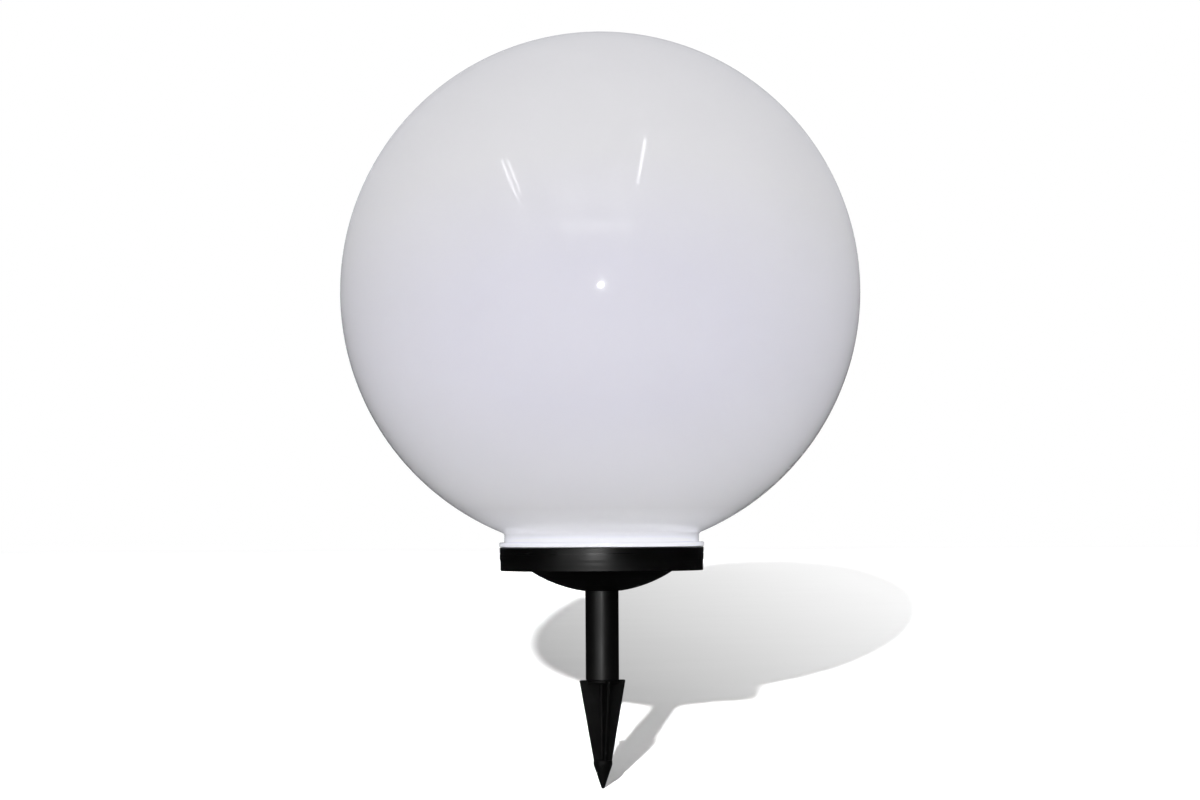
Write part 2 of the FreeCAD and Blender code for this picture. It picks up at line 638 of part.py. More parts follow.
def pole_tube():
    """The pole: a tube that stands on the spike and enters the base with a reduced end."""
    body = new_body("pole_tube", "spike_top")
    revolve(body, "pole_wall_ring", [
        ("pole_bore + pole_chamfer", "0"),
        ("pole_radius - pole_chamfer", "0"),
        ("pole_radius", "pole_chamfer"),
        ("pole_radius", "pole_exposed_length"),
        ("pole_spigot", "pole_exposed_length"),
        ("pole_spigot", "pole_length - pole_chamfer"),
        ("pole_spigot - pole_chamfer", "pole_length"),
        ("pole_bore + pole_chamfer", "pole_length"),
        ("pole_bore", "pole_length - pole_chamfer"),
        ("pole_bore", "pole_chamfer"),
    ])


def lower_housing():
    """The lower shell: band, flat rim, bowl, blind socket for the pole, ribs and screw posts."""
    body = new_body("lower_housing", "base_bottom")
    revolve(body, "lower_shell", [
        ("socket_radius + socket_chamfer", "0"),
        ("mouth_radius", "0", "left", "bowl_ball"),
        ("bowl_radius", "rim_floor"),
        ("lower_rim_radius - edge_chamfer", "rim_floor"),
        ("lower_rim_radius", "rim_floor + edge_chamfer"),
        ("lower_rim_radius", "lower_height"),
        ("flange_inner", "lower_height"),
        ("flange_inner", "lower_height - seam_flange_height"),
        ("lower_rim_radius - housing_wall", "lower_height - seam_flange_height"),
        ("lower_rim_radius - housing_wall", "rim_floor + housing_wall"),
        ("bowl_inner_radius", "rim_floor + housing_wall", "right", "bowl_inner_ball"),
        ("socket_outer", "socket_root"),
        ("socket_outer", "socket_depth + socket_wall"),
        ("0", "socket_depth + socket_wall"),
        ("0", "socket_depth"),
        ("socket_radius", "socket_depth"),
        ("socket_radius", "socket_chamfer"),
    ])
    rib = pad(body, "bowl_rib", [
        ("rib_foot_radius", "rim_floor + housing_wall"),
        ("rib_foot_radius", "rib_foot", "left", "bowl_mid_ball"),
        ("bowl_rib_reach", "rib_toe"),
        ("bowl_rib_reach", "rim_floor + housing_wall"),
    ], "bowl_rib_thickness", role="XZ_Plane", middle=True)
    around(body, "bowl_ribs", [rib], BOWL_RIBS)
    spots = corner_spots("housing_screw_spot", "housing_screw_spot")
    pad_circles(body, "lower_posts", "housing_post_radius", "lower_rim_height", spots, "rim_floor")
    cut_ring(body, "seam_seal_groove", "housing_seal_inner", "housing_seal_inner + housing_seal_width",
             "housing_seal_height", "lower_height")
    cut_circles(body, "screw_holes", "housing_screw_shank_radius + loose_fit",
                "lower_rim_height + overrun", "lower_height", spots)
    cut_circles(body, "screw_counterbores", "housing_screw_head_radius + loose_fit",
                "housing_screw_sink + overrun", "rim_floor + housing_screw_sink", spots)
    cut_circles(body, "switch_hole", "switch_bush_radius + push_fit", "housing_wall + overrun",
                "rim_floor + housing_wall", [("0", "switch_offset")])


def upper_housing():
    """The upper shell: ring with its fine groove, gasket recess, spigot, deck, ramps and posts."""
    body = new_body("upper_housing", "seam")
    revolve(body, "upper_shell", [
        ("flange_inner", "0"),
        ("ring_radius", "0"),
        ("ring_radius", "ring_groove_height - ring_groove_width / 2"),
        ("ring_radius - ring_groove_depth", "ring_groove_height - ring_groove_width / 2"),
        ("ring_radius - ring_groove_depth", "ring_groove_height + ring_groove_width / 2"),
        ("ring_radius", "ring_groove_height + ring_groove_width / 2"),
        ("ring_radius", "ring_height - edge_chamfer"),
        ("ring_radius - edge_chamfer", "ring_height"),
        ("globe_seal_outer + loose_fit", "ring_height"),
        ("globe_seal_outer + loose_fit", "ring_height - seal_recess_depth"),
        ("neck_bore - loose_fit", "ring_height - seal_recess_depth"),
        ("neck_bore - loose_fit", "ring_height"),
        ("spigot_radius", "ring_height"),
        ("spigot_radius", "deck_height - edge_chamfer"),
        ("spigot_radius - edge_chamfer", "deck_height"),
        ("0", "deck_height"),
        ("0", "deck_height - deck_thickness"),
        ("spigot_inner", "deck_height - deck_thickness"),
        ("spigot_inner", "ring_ceiling"),
        ("ring_radius - housing_wall", "ring_ceiling"),
        ("ring_radius - housing_wall", "seam_flange_height"),
        ("flange_inner", "seam_flange_height"),
    ])
    ramp = helix_strip(body, "ramp", [
        ("spigot_radius - overlap", "ramp_height"),
        ("ramp_radius", "ramp_height"),
        ("ramp_radius", "ramp_height + ramp_thickness"),
        ("spigot_radius - overlap", "ramp_height + ramp_thickness"),
    ], "ramp_angle")
    stop = pad(body, "ramp_stop", [
        ("spigot_radius - overlap", "0 - stop_width"),
        ("ramp_radius", "0 - stop_width"),
        ("ramp_radius", "0"),
        ("spigot_radius - overlap", "0"),
    ], "ramp_height + ramp_thickness - ring_height", lift="ring_height")
    around(body, "ramps", [ramp, stop], LUGS)
    upper_housing_posts(body)
    upper_housing_cuts(body)


def upper_housing_posts(body):
    """Posts under the ring and the deck that take the screws."""
    pad_circles(body, "upper_posts", "housing_post_radius", "ring_ceiling + housing_wall",
                corner_spots("housing_screw_spot", "housing_screw_spot"))
    under = "deck_height - deck_thickness"
    pad_circles(body, "control_posts", "small_post_radius", "control_post_height + overlap",
                control_spots(), f"{under} - control_post_height")
    pad_circles(body, "battery_posts", "small_post_radius", "battery_post_height + overlap",
                battery_spots(), f"{under} - battery_post_height")


def upper_housing_cuts(body):
    """Recesses, pilot holes and wire holes of the upper shell."""
    cut_circles(body, "housing_pilots", "housing_screw_shank_radius", "housing_pilot_top + overrun",
                "housing_pilot_top", corner_spots("housing_screw_spot", "housing_screw_spot"))
    under = "deck_height - deck_thickness"
    cut_circles(body, "control_pilots", "small_pilot_radius", "control_post_height + overrun",
                under, control_spots())
    cut_circles(body, "battery_pilots", "small_pilot_radius", "battery_post_height + overrun",
                under, battery_spots())
    for name, side in (("front", -1), ("rear", 1)):
        tray = rectangle("panel_length + 2 * loose_fit", "panel_width + 2 * loose_fit",
                         "0", f"{side} * panel_offset")
        cut(body, f"panel_recess_{name}", tray, "panel_recess", "deck_height")
        cut_circles(body, f"panel_wire_hole_{name}", "wire_hole_radius", "deck_thickness + overrun",
                    "deck_height", [("panel_wire_spot", f"{side} * control_offset")])
    cut_ring(body, "lamp_seal_groove", "lamp_seal_inner", "lamp_seal_inner + lamp_seal_width",
             "lamp_seal_height", "deck_height")
    cut_circles(body, "lamp_wire_hole", "lamp_wire_hole_radius", "deck_thickness + overrun", "deck_height")
    cut_circles(body, "lamp_pilots", "small_pilot_radius", "deck_thickness + overrun", "deck_height",
                ring_spots("lamp_screw_circle", LAMP_SCREWS, LAMP_SCREW_TURN))
    cut_circles(body, "lamp_cover_pilots", "small_pilot_radius", "deck_thickness + overrun", "deck_height",
                ring_spots("lamp_cover_screw_circle", LAMP_COVER_SCREWS, LAMP_SCREW_TURN))


def control_spots():
    """Where the control board's four screws stand, seen from the light's axis."""
    return [(x, f"{y} - control_offset") for x, y in corner_spots("control_spot_across", "control_spot_out")]


def battery_spots():
    """Where the battery box's two screws stand, seen from the light's axis."""
    return [("0 - battery_spot", "battery_offset"), ("battery_spot", "battery_offset")]


def globe():
    """The opal globe: ball, neck, lip and three lugs on the screw line inside the neck."""
    body = new_body("globe", "lip_bottom", turn="lug_stop_angle")
    shell = revolve(body, "globe_shell", [
        ("neck_bore", "0"),
        ("lip_radius - edge_chamfer", "0"),
        ("lip_radius", "edge_chamfer"),
        ("lip_radius", "lip_thickness - edge_chamfer"),
        ("lip_radius - edge_chamfer", "lip_thickness"),
        ("neck_radius", "lip_thickness"),
        ("neck_radius", "neck_top", "left", "globe_radius"),
        ("0", "globe_centre + globe_radius"),
        ("0", "globe_centre + globe_bore", "right", "globe_bore"),
        ("neck_bore", "neck_bore_top"),
    ])
    round_edges(body, "neck_rounding", shell, "neck_radius", "neck_top", "neck_fillet")
    lug = helix_strip(body, "lug", [
        ("lug_radius", "lug_height"),
        ("neck_bore + overlap", "lug_height"),
        ("neck_bore + overlap", "lug_height + lug_thickness"),
        ("lug_radius", "lug_height + lug_thickness"),
    ], "lug_angle")
    around(body, "lugs", [lug], LUGS)


def solar_panel(name, side):
    """One solar panel: carrier board, a row of cells on it and a clear cover over them."""
    across = f"{side} * panel_offset"
    board = new_body(f"solar_board_{name}", "panel_seat", "0", across)
    pad(board, f"board_{name}", rectangle("panel_length", "panel_width"), "panel_board_thickness")
    cells = new_body(f"solar_cells_{name}", "panel_seat + panel_board_thickness", "0", across)
    cell_pitch = f"(panel_length - 2 * panel_rim) / {SOLAR_CELLS}"
    first = f"0 - {cell_pitch} * {SOLAR_CELLS - 1} / 2"
    strip = pad(cells, f"cell_{name}", rectangle(f"{cell_pitch} - cell_spacing", "cell_area_width", first),
                "cell_thickness")
    row = cells.newObject("PartDesign::LinearPattern", f"cell_row_{name}")
    row.Originals = [strip]
    row.Direction = ([item for item in cells.Origin.OriginFeatures if item.Role == "X_Axis"][0], [""])
    row.setExpression("Length", formula(f"{cell_pitch} * {SOLAR_CELLS - 1}"))
    row.Occurrences = SOLAR_CELLS
    cells.Tip = row
    window = new_body(f"solar_window_{name}", "panel_seat + panel_board_thickness", "0", across)
    pad(window, f"window_{name}", rectangle("panel_length", "panel_width"), "panel_window_thickness")
    inside = rectangle("panel_length - 2 * panel_rim + cell_spacing", "cell_area_width + cell_spacing")
    cut(window, f"window_hollow_{name}", inside, "cell_thickness + overrun", "cell_thickness")


def lamp():
    """The lamp in the middle of the deck: board, diodes, screws, clear dome and its seal."""
    board = new_body("lamp_board", "deck_top")
    pad_circles(board, "lamp_disc", "lamp_board_radius", "lamp_board_thickness")
    cut_circles(board, "lamp_board_holes", "small_screw_shank_radius + push_fit",
                "lamp_board_thickness + overrun", "lamp_board_thickness",
                ring_spots("lamp_screw_circle", LAMP_SCREWS, LAMP_SCREW_TURN))
    diodes = new_body("lamp_diodes", "lamp_board_top")
    diode = revolve_beside(diodes, "diode", [
        ("0", "0"),
        ("diode_radius", "0"),
        ("diode_radius", "diode_height", "left", "diode_radius"),
        ("0", "diode_height + diode_radius"),
    ], "diode_circle")
    around(diodes, "diode_ring", [diode], DIODES)
    screws("lamp_screws", "small_screw", "lamp_board_thickness + deck_thickness",
           ring_spots("lamp_screw_circle", LAMP_SCREWS, LAMP_SCREW_TURN), "lamp_board_top", upwards=False)
    ring_piece("lamp_seal", "lamp_seal_inner + push_fit", "lamp_seal_inner + lamp_seal_width - push_fit",
               "lamp_seal_height", "deck_top - lamp_seal_height")
    cover = new_body("lamp_cover", "deck_top")
    dome_foot = "lamp_flange_thickness + lamp_cover_height"
    revolve(cover, "lamp_dome", [
        ("lamp_cover_bore", "0"),
        ("lamp_flange_radius", "0"),
        ("lamp_flange_radius", "lamp_flange_thickness"),
        ("lamp_cover_radius", "lamp_flange_thickness"),
        ("lamp_cover_radius", dome_foot, "left", "lamp_cover_radius"),
        ("0", f"{dome_foot} + lamp_cover_radius"),
        ("0", f"{dome_foot} + lamp_cover_bore", "right", "lamp_cover_bore"),
        ("lamp_cover_bore", dome_foot),
    ])
    cut_circles(cover, "lamp_cover_holes", "small_screw_shank_radius + push_fit",
                "lamp_flange_thickness + overrun", "lamp_flange_thickness",
                ring_spots("lamp_cover_screw_circle", LAMP_COVER_SCREWS, LAMP_SCREW_TURN))
    screws("lamp_cover_screws", "small_screw", "lamp_flange_thickness + deck_thickness",
           ring_spots("lamp_cover_screw_circle", LAMP_COVER_SCREWS, LAMP_SCREW_TURN),
           "deck_top + lamp_flange_thickness", upwards=False)


def control():
    """The charge controller's board under the deck, with its parts hanging from it."""
    out = "0 - control_offset"
    board = new_body("control_board", "control_bottom", "0", out)
    pad(board, "control_plate", rectangle("control_length", "control_width"), "control_thickness")
    spots = corner_spots("control_spot_across", "control_spot_out")
    cut_circles(board, "control_holes", "small_screw_shank_radius + push_fit",
                "control_thickness + overrun", "control_thickness", spots)
    screws("control_screws", "small_screw", "control_thickness + control_post_height",
           spots, "control_bottom", "0", out)
    chip = new_body("control_chip", "control_bottom - chip_thickness", "0 - control_length / 6", out)
    pad(chip, "chip_block", rectangle("chip_length", "chip_width"), "chip_thickness")
    for index in range(CHIP_LEADS):
        along = f"chip_lead_pitch * {index - (CHIP_LEADS - 1) / 2}"
        lead = rectangle("chip_lead_width", "chip_width + 2 * chip_lead_length", along)
        pad(chip, f"chip_lead_{index}", lead, "chip_lead_thickness", "chip_thickness - chip_lead_thickness")
    coil = new_body("control_coil", "control_bottom - coil_height", "control_length / 6", out)
    revolve(coil, "coil_bobbin", [
        ("0", "0"),
        ("coil_radius", "0"),
        ("coil_radius", "coil_flange_height"),
        ("coil_waist_radius", "coil_flange_height"),
        ("coil_waist_radius", "coil_height - coil_flange_height"),
        ("coil_radius", "coil_height - coil_flange_height"),
        ("coil_radius", "coil_height"),
        ("0", "coil_height"),
    ])
    cans = new_body("control_capacitors", "control_bottom - can_height", "0", f"{out} + control_width / 3")
    pad_circles(cans, "capacitor_cans", "can_radius", "can_height",
                [("0 - can_pitch / 2", "0"), ("can_pitch / 2", "0")])


def battery():
    """The battery box under the deck: box, cover, two cells, contacts and screws."""
    box = new_body("battery_box", "deck_underside - battery_height", "0", "battery_offset")
    pad(box, "box_block", rectangle("battery_length", "battery_width"), "battery_height")
    for name, side in (("left", -1), ("right", 1)):
        column = rectangle("battery_column_length + 2 * overlap", "battery_column_width",
                           f"{side} * battery_spot")
        pad(box, f"box_column_{name}", column, "battery_height - battery_post_height")
    cut(box, "box_hollow", rectangle("battery_inner_length", "battery_inner_width"),
        "battery_inner_height + overrun", "battery_inner_height")
    ends = [("0 - battery_spot", "0"), ("battery_spot", "0")]
    cut_circles(box, "column_holes", "small_screw_shank_radius + push_fit",
                "battery_height + overrun", "battery_height", ends)
    for name, side in (("near", -1), ("far", 1)):
        slot = rectangle("2 * battery_wall + overrun", "contact_tab_width + 2 * push_fit",
                         "battery_length / 2", f"{side} * cell_across")
        cut(box, f"tab_slot_{name}", slot, "contact_tab_level + overrun", "contact_tab_level + push_fit")
    cover = new_body("battery_cover", "deck_underside - battery_height - battery_cover_thickness",
                     "0", "battery_offset")
    pad(cover, "cover_plate", rectangle("battery_length", "battery_width"), "battery_cover_thickness")
    for name, side in (("left", -1), ("right", 1)):
        ear = rectangle("battery_column_length + 2 * overlap", "battery_column_width",
                        f"{side} * battery_spot")
        pad(cover, f"cover_ear_{name}", ear, "battery_cover_thickness")
    cut_circles(cover, "cover_holes", "small_screw_shank_radius + push_fit",
                "battery_cover_thickness + overrun", "battery_cover_thickness", ends)
    screws("battery_screws", "small_screw", "battery_screw_length", ends,
           "deck_underside - battery_height - battery_cover_thickness", "0", "battery_offset")
    battery_cell("near", -1, 1)
    battery_cell("far", 1, -1)
    battery_contacts()


def battery_cell(name, side, way):
    """One rechargeable cell lying along X; way is the side that its positive nub faces."""
    box_floor = "deck_underside - battery_height"
    body = new_body(f"battery_cell_{name}", f"{box_floor} + cell_radius", "0",
                    f"battery_offset + {side} * cell_across")
    inner_end = f"{way} * (battery_inner_length / 2 - contact_thickness)"
    can_end = f"{inner_end} - {way} * cell_nub_length"
    foot = f"{can_end} - {way} * cell_length"
    revolve(body, f"cell_can_{name}", [
        (foot, "0"),
        (foot, "cell_radius"),
        (can_end, "cell_radius"),
        (can_end, "cell_nub_radius"),
        (inner_end, "cell_nub_radius"),
        (inner_end, "0"),
    ], axis="H_Axis")


def battery_contacts():
    """The sheet contacts: one bridge on the left, two tabs with solder ends on the right."""
    body = new_body("battery_contacts", "deck_underside - battery_height", "0", "battery_offset")
    wall_face = "battery_inner_length / 2"
    bridge = rectangle("contact_thickness", "2 * cell_across + contact_width",
                       f"contact_thickness / 2 - {wall_face}")
    pad(body, "contact_bridge", bridge, "battery_inner_height - cell_clearance", "cell_clearance / 2")
    for name, side in (("near", -1), ("far", 1)):
        across = f"{side} * cell_across"
        plate = rectangle("contact_thickness", "contact_width",
                          f"{wall_face} - contact_thickness / 2", across)
        pad(body, f"contact_plate_{name}", plate, "battery_inner_height - cell_clearance",
            "cell_clearance / 2")
        tab = rectangle("contact_tab_out - battery_inner_length / 2 + contact_thickness", "contact_tab_width",
                        f"(contact_tab_out + {wall_face} - contact_thickness) / 2", across)
        pad(body, f"contact_tab_{name}", tab, "contact_thickness", "contact_tab_level - contact_thickness")
    pad_circles(body, "spring_cup_near", "contact_spring_radius", "contact_spring_length",
                [("0 - cell_across", "cell_radius")], f"contact_thickness - {wall_face}", "YZ_Plane")
    pad_circles(body, "spring_cup_far", "contact_spring_radius", "contact_spring_length",
                [("cell_across", "cell_radius")],
                f"{wall_face} - contact_thickness - contact_spring_length", "YZ_Plane")


def switch():
    """The push switch in the rear of the lower shell's flat rim."""
    flat = "base_bottom + rim_floor"
    body = new_body("switch_body", flat, "0", "switch_offset")
    revolve(body, "switch_barrel", [
        ("button_radius + push_fit", "0 - switch_bush_drop"),
        ("switch_bush_radius", "0 - switch_bush_drop"),
        ("switch_bush_radius", "housing_wall"),
        ("switch_body_radius", "housing_wall"),
        ("switch_body_radius", "switch_body_top"),
        ("0", "switch_body_top"),
        ("0", "switch_cavity_top"),
        ("switch_cavity", "switch_cavity_top"),
        ("switch_cavity", "switch_ledge"),
        ("button_radius + push_fit", "switch_ledge"),
    ])
    for name, side in (("left", -1), ("right", 1)):
        blade = rectangle("switch_terminal_width", "switch_terminal_thickness",
                          f"{side} * switch_terminal_offset")
        pad(body, f"switch_terminal_{name}", blade, "switch_terminal_height + overlap",
            "switch_body_top - overlap")
    button = new_body("switch_button", flat, "0", "switch_offset")
    revolve(button, "button_stem", [
        ("0", "button_tip"),
        ("button_radius - button_round", "button_tip", "left", "button_round"),
        ("button_radius", "button_tip + button_round"),
        ("button_radius", "switch_ledge"),
        ("button_flange_radius", "switch_ledge"),
        ("button_flange_radius", "spring_foot"),
        ("0", "spring_foot"),
    ])
    ring_piece("switch_seal", "switch_bush_radius + push_fit", "switch_seal_radius",
               "switch_seal_thickness", f"{flat} - switch_seal_thickness", "switch_offset")
    nut_level = f"{flat} - switch_seal_thickness - switch_nut_thickness"
    nut = new_body("switch_nut", nut_level, "0", "switch_offset")
    corner = "switch_nut_flats / 2 / cos(30)"
    pad(nut, "nut_block", ring_spots(corner, NUT_SIDES), "switch_nut_thickness")
    cut_circles(nut, "nut_bore", "switch_bush_radius + push_fit / 2",
                "switch_nut_thickness + overrun", "switch_nut_thickness")
    spring = new_body("switch_spring", f"{flat} + spring_foot + switch_spring_wire", "0", "switch_offset")
    drawn = sketch_on(spring, "spring_wire_outline", "XZ_Plane")
    circle(drawn, "switch_spring_wire", "switch_spring_radius", "0")
    coil = feature(spring, "AdditiveHelix", "spring_coil", drawn)
    coil.ReferenceAxis = (drawn, ["V_Axis"])
    coil.Mode = "height-turns-angle"
    coil.setExpression("Height", formula("spring_height - 2 * switch_spring_wire"))
    coil.setExpression("Turns", formula("switch_spring_turns"))


def wires(label, routes):
    """Make a group of insulated wires, each a tube of straight runs joined by tangent arcs."""
    tubes = []
    for route in routes:
        points = [Vector(*[value(text) for text in point]) for point in route]
        tubes.append(wire_tube(points))
    body = doc.addObject("Part::Feature", label)
    body.Label = label
    body.Shape = Part.makeCompound(tubes)
    body.Placement = FreeCAD.Placement()
    SUBPARTS.append(body)


def wire_tube(points):
    """Sweep a wire's section along its route."""
    edges = []
    start = points[0]
    for before, corner, after in zip(points, points[1:], points[2:]):
        into = corner - before
        out_of = after - corner
        bend = min(value("wire_bend"), BEND_SHARE * into.Length, BEND_SHARE * out_of.Length)
        into.normalize()
        out_of.normalize()
        arc_start = corner - into * bend
        arc_end = corner + out_of * bend
        centre = corner - into * bend + out_of * bend
        middle = centre + (corner - centre).normalize() * bend
        edges.append(Part.LineSegment(start, arc_start).toShape())
        edges.append(Part.Arc(arc_start, middle, arc_end).toShape())
        start = arc_end
    edges.append(Part.LineSegment(start, points[-1]).toShape())
    section = Part.Wire(Part.makeCircle(value("wire_radius"), points[0], points[1] - points[0]))
    tube = Part.Wire(edges).makePipeShell([section], True, True)
    return tube


def wiring():
    """The four wire pairs between the lamp, the panels, the battery, the switch and the board."""
    lamp_pair = []
    front_pair = []
    rear_pair = []
    battery_pair = []
    switch_pair = []
    for side in (-1, 1):
        apart = f"{side} * wire_spread"
        board_in = "0 - control_offset + control_width / 2 - wire_margin"
        lamp_pair.append([
            (apart, "0", "deck_top"), (apart, "0", "high_run"),
            (apart, board_in, "high_run"), (apart, board_in, "control_top"),
        ])
        front = f"0 - control_offset + {apart}"
        front_pair.append([
            ("panel_wire_spot", front, "panel_seat"), ("panel_wire_spot", front, "high_run"),
            ("board_end", front, "high_run"), ("board_end", front, "control_top"),
        ])
        rear_in = f"rear_wire_row + {apart}"
        rear_pair.append([
            (f"panel_wire_spot + {apart}", "control_offset", "panel_seat"),
            (f"panel_wire_spot + {apart}", "control_offset", "high_run"),
            (f"panel_wire_spot + {apart}", rear_in, "high_run"),
            ("board_end", rear_in, "high_run"), ("board_end", rear_in, "control_top"),
        ])
        tab_level = "deck_underside - battery_height + contact_tab_level - contact_thickness / 2"
        lane = f"battery_spot + battery_column_length / 2 + wire_margin + {apart}"
        tab_across = f"battery_offset + {side} * cell_across"
        board_out = f"0 - control_offset - wire_margin - {apart}"
        battery_pair.append([
            ("contact_tab_out", tab_across, tab_level), (lane, tab_across, tab_level),
            (lane, board_out, tab_level), ("board_end", board_out, tab_level),
            ("board_end", board_out, "control_bottom"),
        ])
        blade = f"{side} * switch_terminal_offset"
        level = f"switch_terminal_top + wire_margin + {side} * wire_spread"
        cross = "switch_offset - 3 * wire_margin"
        run = f"0 - socket_outer - wire_margin + {side} * wire_spread"
        switch_pair.append([
            (blade, "switch_offset", "switch_terminal_top"), (blade, "switch_offset", level),
            (blade, cross, level), (run, cross, level), (run, "0 - control_offset", level),
            (run, "0 - control_offset", "control_bottom"),
        ])
    wires("lamp_wires", lamp_pair)
    wires("panel_wires", front_pair + rear_pair)
    wires("battery_wires", battery_pair)
    wires("switch_wires", switch_pair)


def check_and_write():
    """Check every object and every sub-part, then write one STEP file per sub-part."""
    doc.recompute()
    for item in doc.Objects:
        if "Invalid" in item.State or "Error" in item.State:
            raise RuntimeError(f"{item.Label} failed: {item.State}")
    for item in SUBPARTS:
        if item.Shape.isNull() or not item.Shape.isValid():
            raise RuntimeError(f"{item.Label} has no valid shape")
    os.makedirs("parts", exist_ok=True)
    for item in SUBPARTS:
        item.Shape.exportStep(f"parts/{item.Label}.step")
        print(item.Label, len(item.Shape.Solids), round(item.Shape.Volume, 1))


fill_sheets()
ground_spike()
pole_tube()
lower_housing()
ring_piece("housing_seal", "housing_seal_inner + push_fit",
           "housing_seal_inner + housing_seal_width - push_fit", "housing_seal_height",
           "seam - housing_seal_height")
upper_housing()
screws("housing_screws", "housing_screw", "housing_screw_shank_length",
       corner_spots("housing_screw_spot", "housing_screw_spot"),
       "base_bottom + rim_floor + housing_screw_sink")
globe()
ring_piece("globe_seal", "neck_bore", "globe_seal_outer", "globe_seal_thickness",
           "ring_top - seal_recess_depth")
solar_panel("front", -1)
solar_panel("rear", 1)
lamp()
control()
battery()
switch()
wiring()
check_and_write()
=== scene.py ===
import logging
import math
from dataclasses import dataclass
from enum import Enum
from typing import Callable, Mapping, Optional, Sequence, Union

import bmesh
import bpy
from mathutils import Matrix, Vector


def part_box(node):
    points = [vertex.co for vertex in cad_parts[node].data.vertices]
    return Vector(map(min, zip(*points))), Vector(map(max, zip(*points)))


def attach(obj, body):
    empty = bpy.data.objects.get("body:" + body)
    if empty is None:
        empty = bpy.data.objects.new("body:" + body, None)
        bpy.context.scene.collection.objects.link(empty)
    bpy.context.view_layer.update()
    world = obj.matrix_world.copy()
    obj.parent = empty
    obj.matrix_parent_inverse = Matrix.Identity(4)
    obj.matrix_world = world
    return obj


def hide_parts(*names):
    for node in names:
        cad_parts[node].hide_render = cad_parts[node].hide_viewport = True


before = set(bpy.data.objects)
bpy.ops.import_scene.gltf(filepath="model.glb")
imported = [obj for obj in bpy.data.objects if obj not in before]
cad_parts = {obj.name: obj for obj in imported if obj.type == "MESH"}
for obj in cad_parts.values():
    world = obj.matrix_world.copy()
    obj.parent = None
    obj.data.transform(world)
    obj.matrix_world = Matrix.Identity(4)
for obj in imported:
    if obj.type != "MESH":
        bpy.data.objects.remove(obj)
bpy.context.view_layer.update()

# Looks of the ball path light: opal globe, round black base, short pole and ground spike.
# Metres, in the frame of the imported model: +Z up, the spike's tip at the origin, -Y towards the viewer.

LOG = logging.getLogger("path_light")

MM = 0.001
NEAR = 0.01 * MM
CORNER_STEPS = 4
SMALL_STEPS = 64
WIDE_STEPS = 192
SMOOTH_ANGLE = 35.0
PANEL_POWER = 4.0
UPWARDS = Vector((0.0, 0.0, 1.0))
WHITE = (1.0, 1.0, 1.0, 1.0)

Span = tuple[float, float]
Triple = tuple[float, float, float]
Socket = bpy.types.NodeSocket
Feed = Union[float, tuple, Vector, Socket]
Feeds = Mapping[Union[str, int], Feed]


# Edit-mode steps

@dataclass(frozen=True)
class Corner:
    """A corner of an outline: distance from the axis, height, and what its rounding takes of each edge."""

    radius: float
    height: float
    rounding: float = 0.0

    def place(self) -> Vector:
        """Give the corner's place in the XZ plane."""
        return Vector((self.radius, 0.0, self.height))


@dataclass(frozen=True)
class Sweep:
    """A round stretch of an outline about a centre; positive degrees turn from outwards to upwards."""

    centre: Corner
    degrees: float
    steps: int


def deselect() -> None:
    """Leave edit mode and deselect every object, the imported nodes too."""
    if bpy.context.mode != "OBJECT":
        bpy.ops.object.mode_set(mode="OBJECT")
    bpy.ops.object.select_all(action="DESELECT")


def take(*items: bpy.types.Object) -> None:
    """Select only the given objects and make the first one active.

    Args:
        items: the objects.
    """
    deselect()
    for item in items:
        item.select_set(True)
    bpy.context.view_layer.objects.active = items[0]


def pick(test: Callable[[Vector], bool]) -> None:
    """Select only the vertices whose place passes a test, with the edges and faces between them.

    Args:
        test: takes a vertex's place and says whether it is wanted.
    """
    bpy.ops.mesh.select_mode(type="VERT")
    bpy.ops.mesh.select_all(action="DESELECT")
    mesh = bpy.context.edit_object.data
    cage = bmesh.from_edit_mesh(mesh)
    for vertex in cage.verts:
        vertex.select = test(vertex.co)
    cage.select_flush_mode()
    bmesh.update_edit_mesh(mesh)


def pick_edges(test: Callable[[Vector, Vector], bool]) -> None:
    """Select only the edges whose two ends pass a test.

    Args:
        test: takes the places of both ends and says whether the edge is wanted.
    """
    bpy.ops.mesh.select_mode(type="EDGE")
    bpy.ops.mesh.select_all(action="DESELECT")
    mesh = bpy.context.edit_object.data
    cage = bmesh.from_edit_mesh(mesh)
    for edge in cage.edges:
        edge.select = test(edge.verts[0].co, edge.verts[1].co)
    cage.select_flush_mode()
    bmesh.update_edit_mesh(mesh)


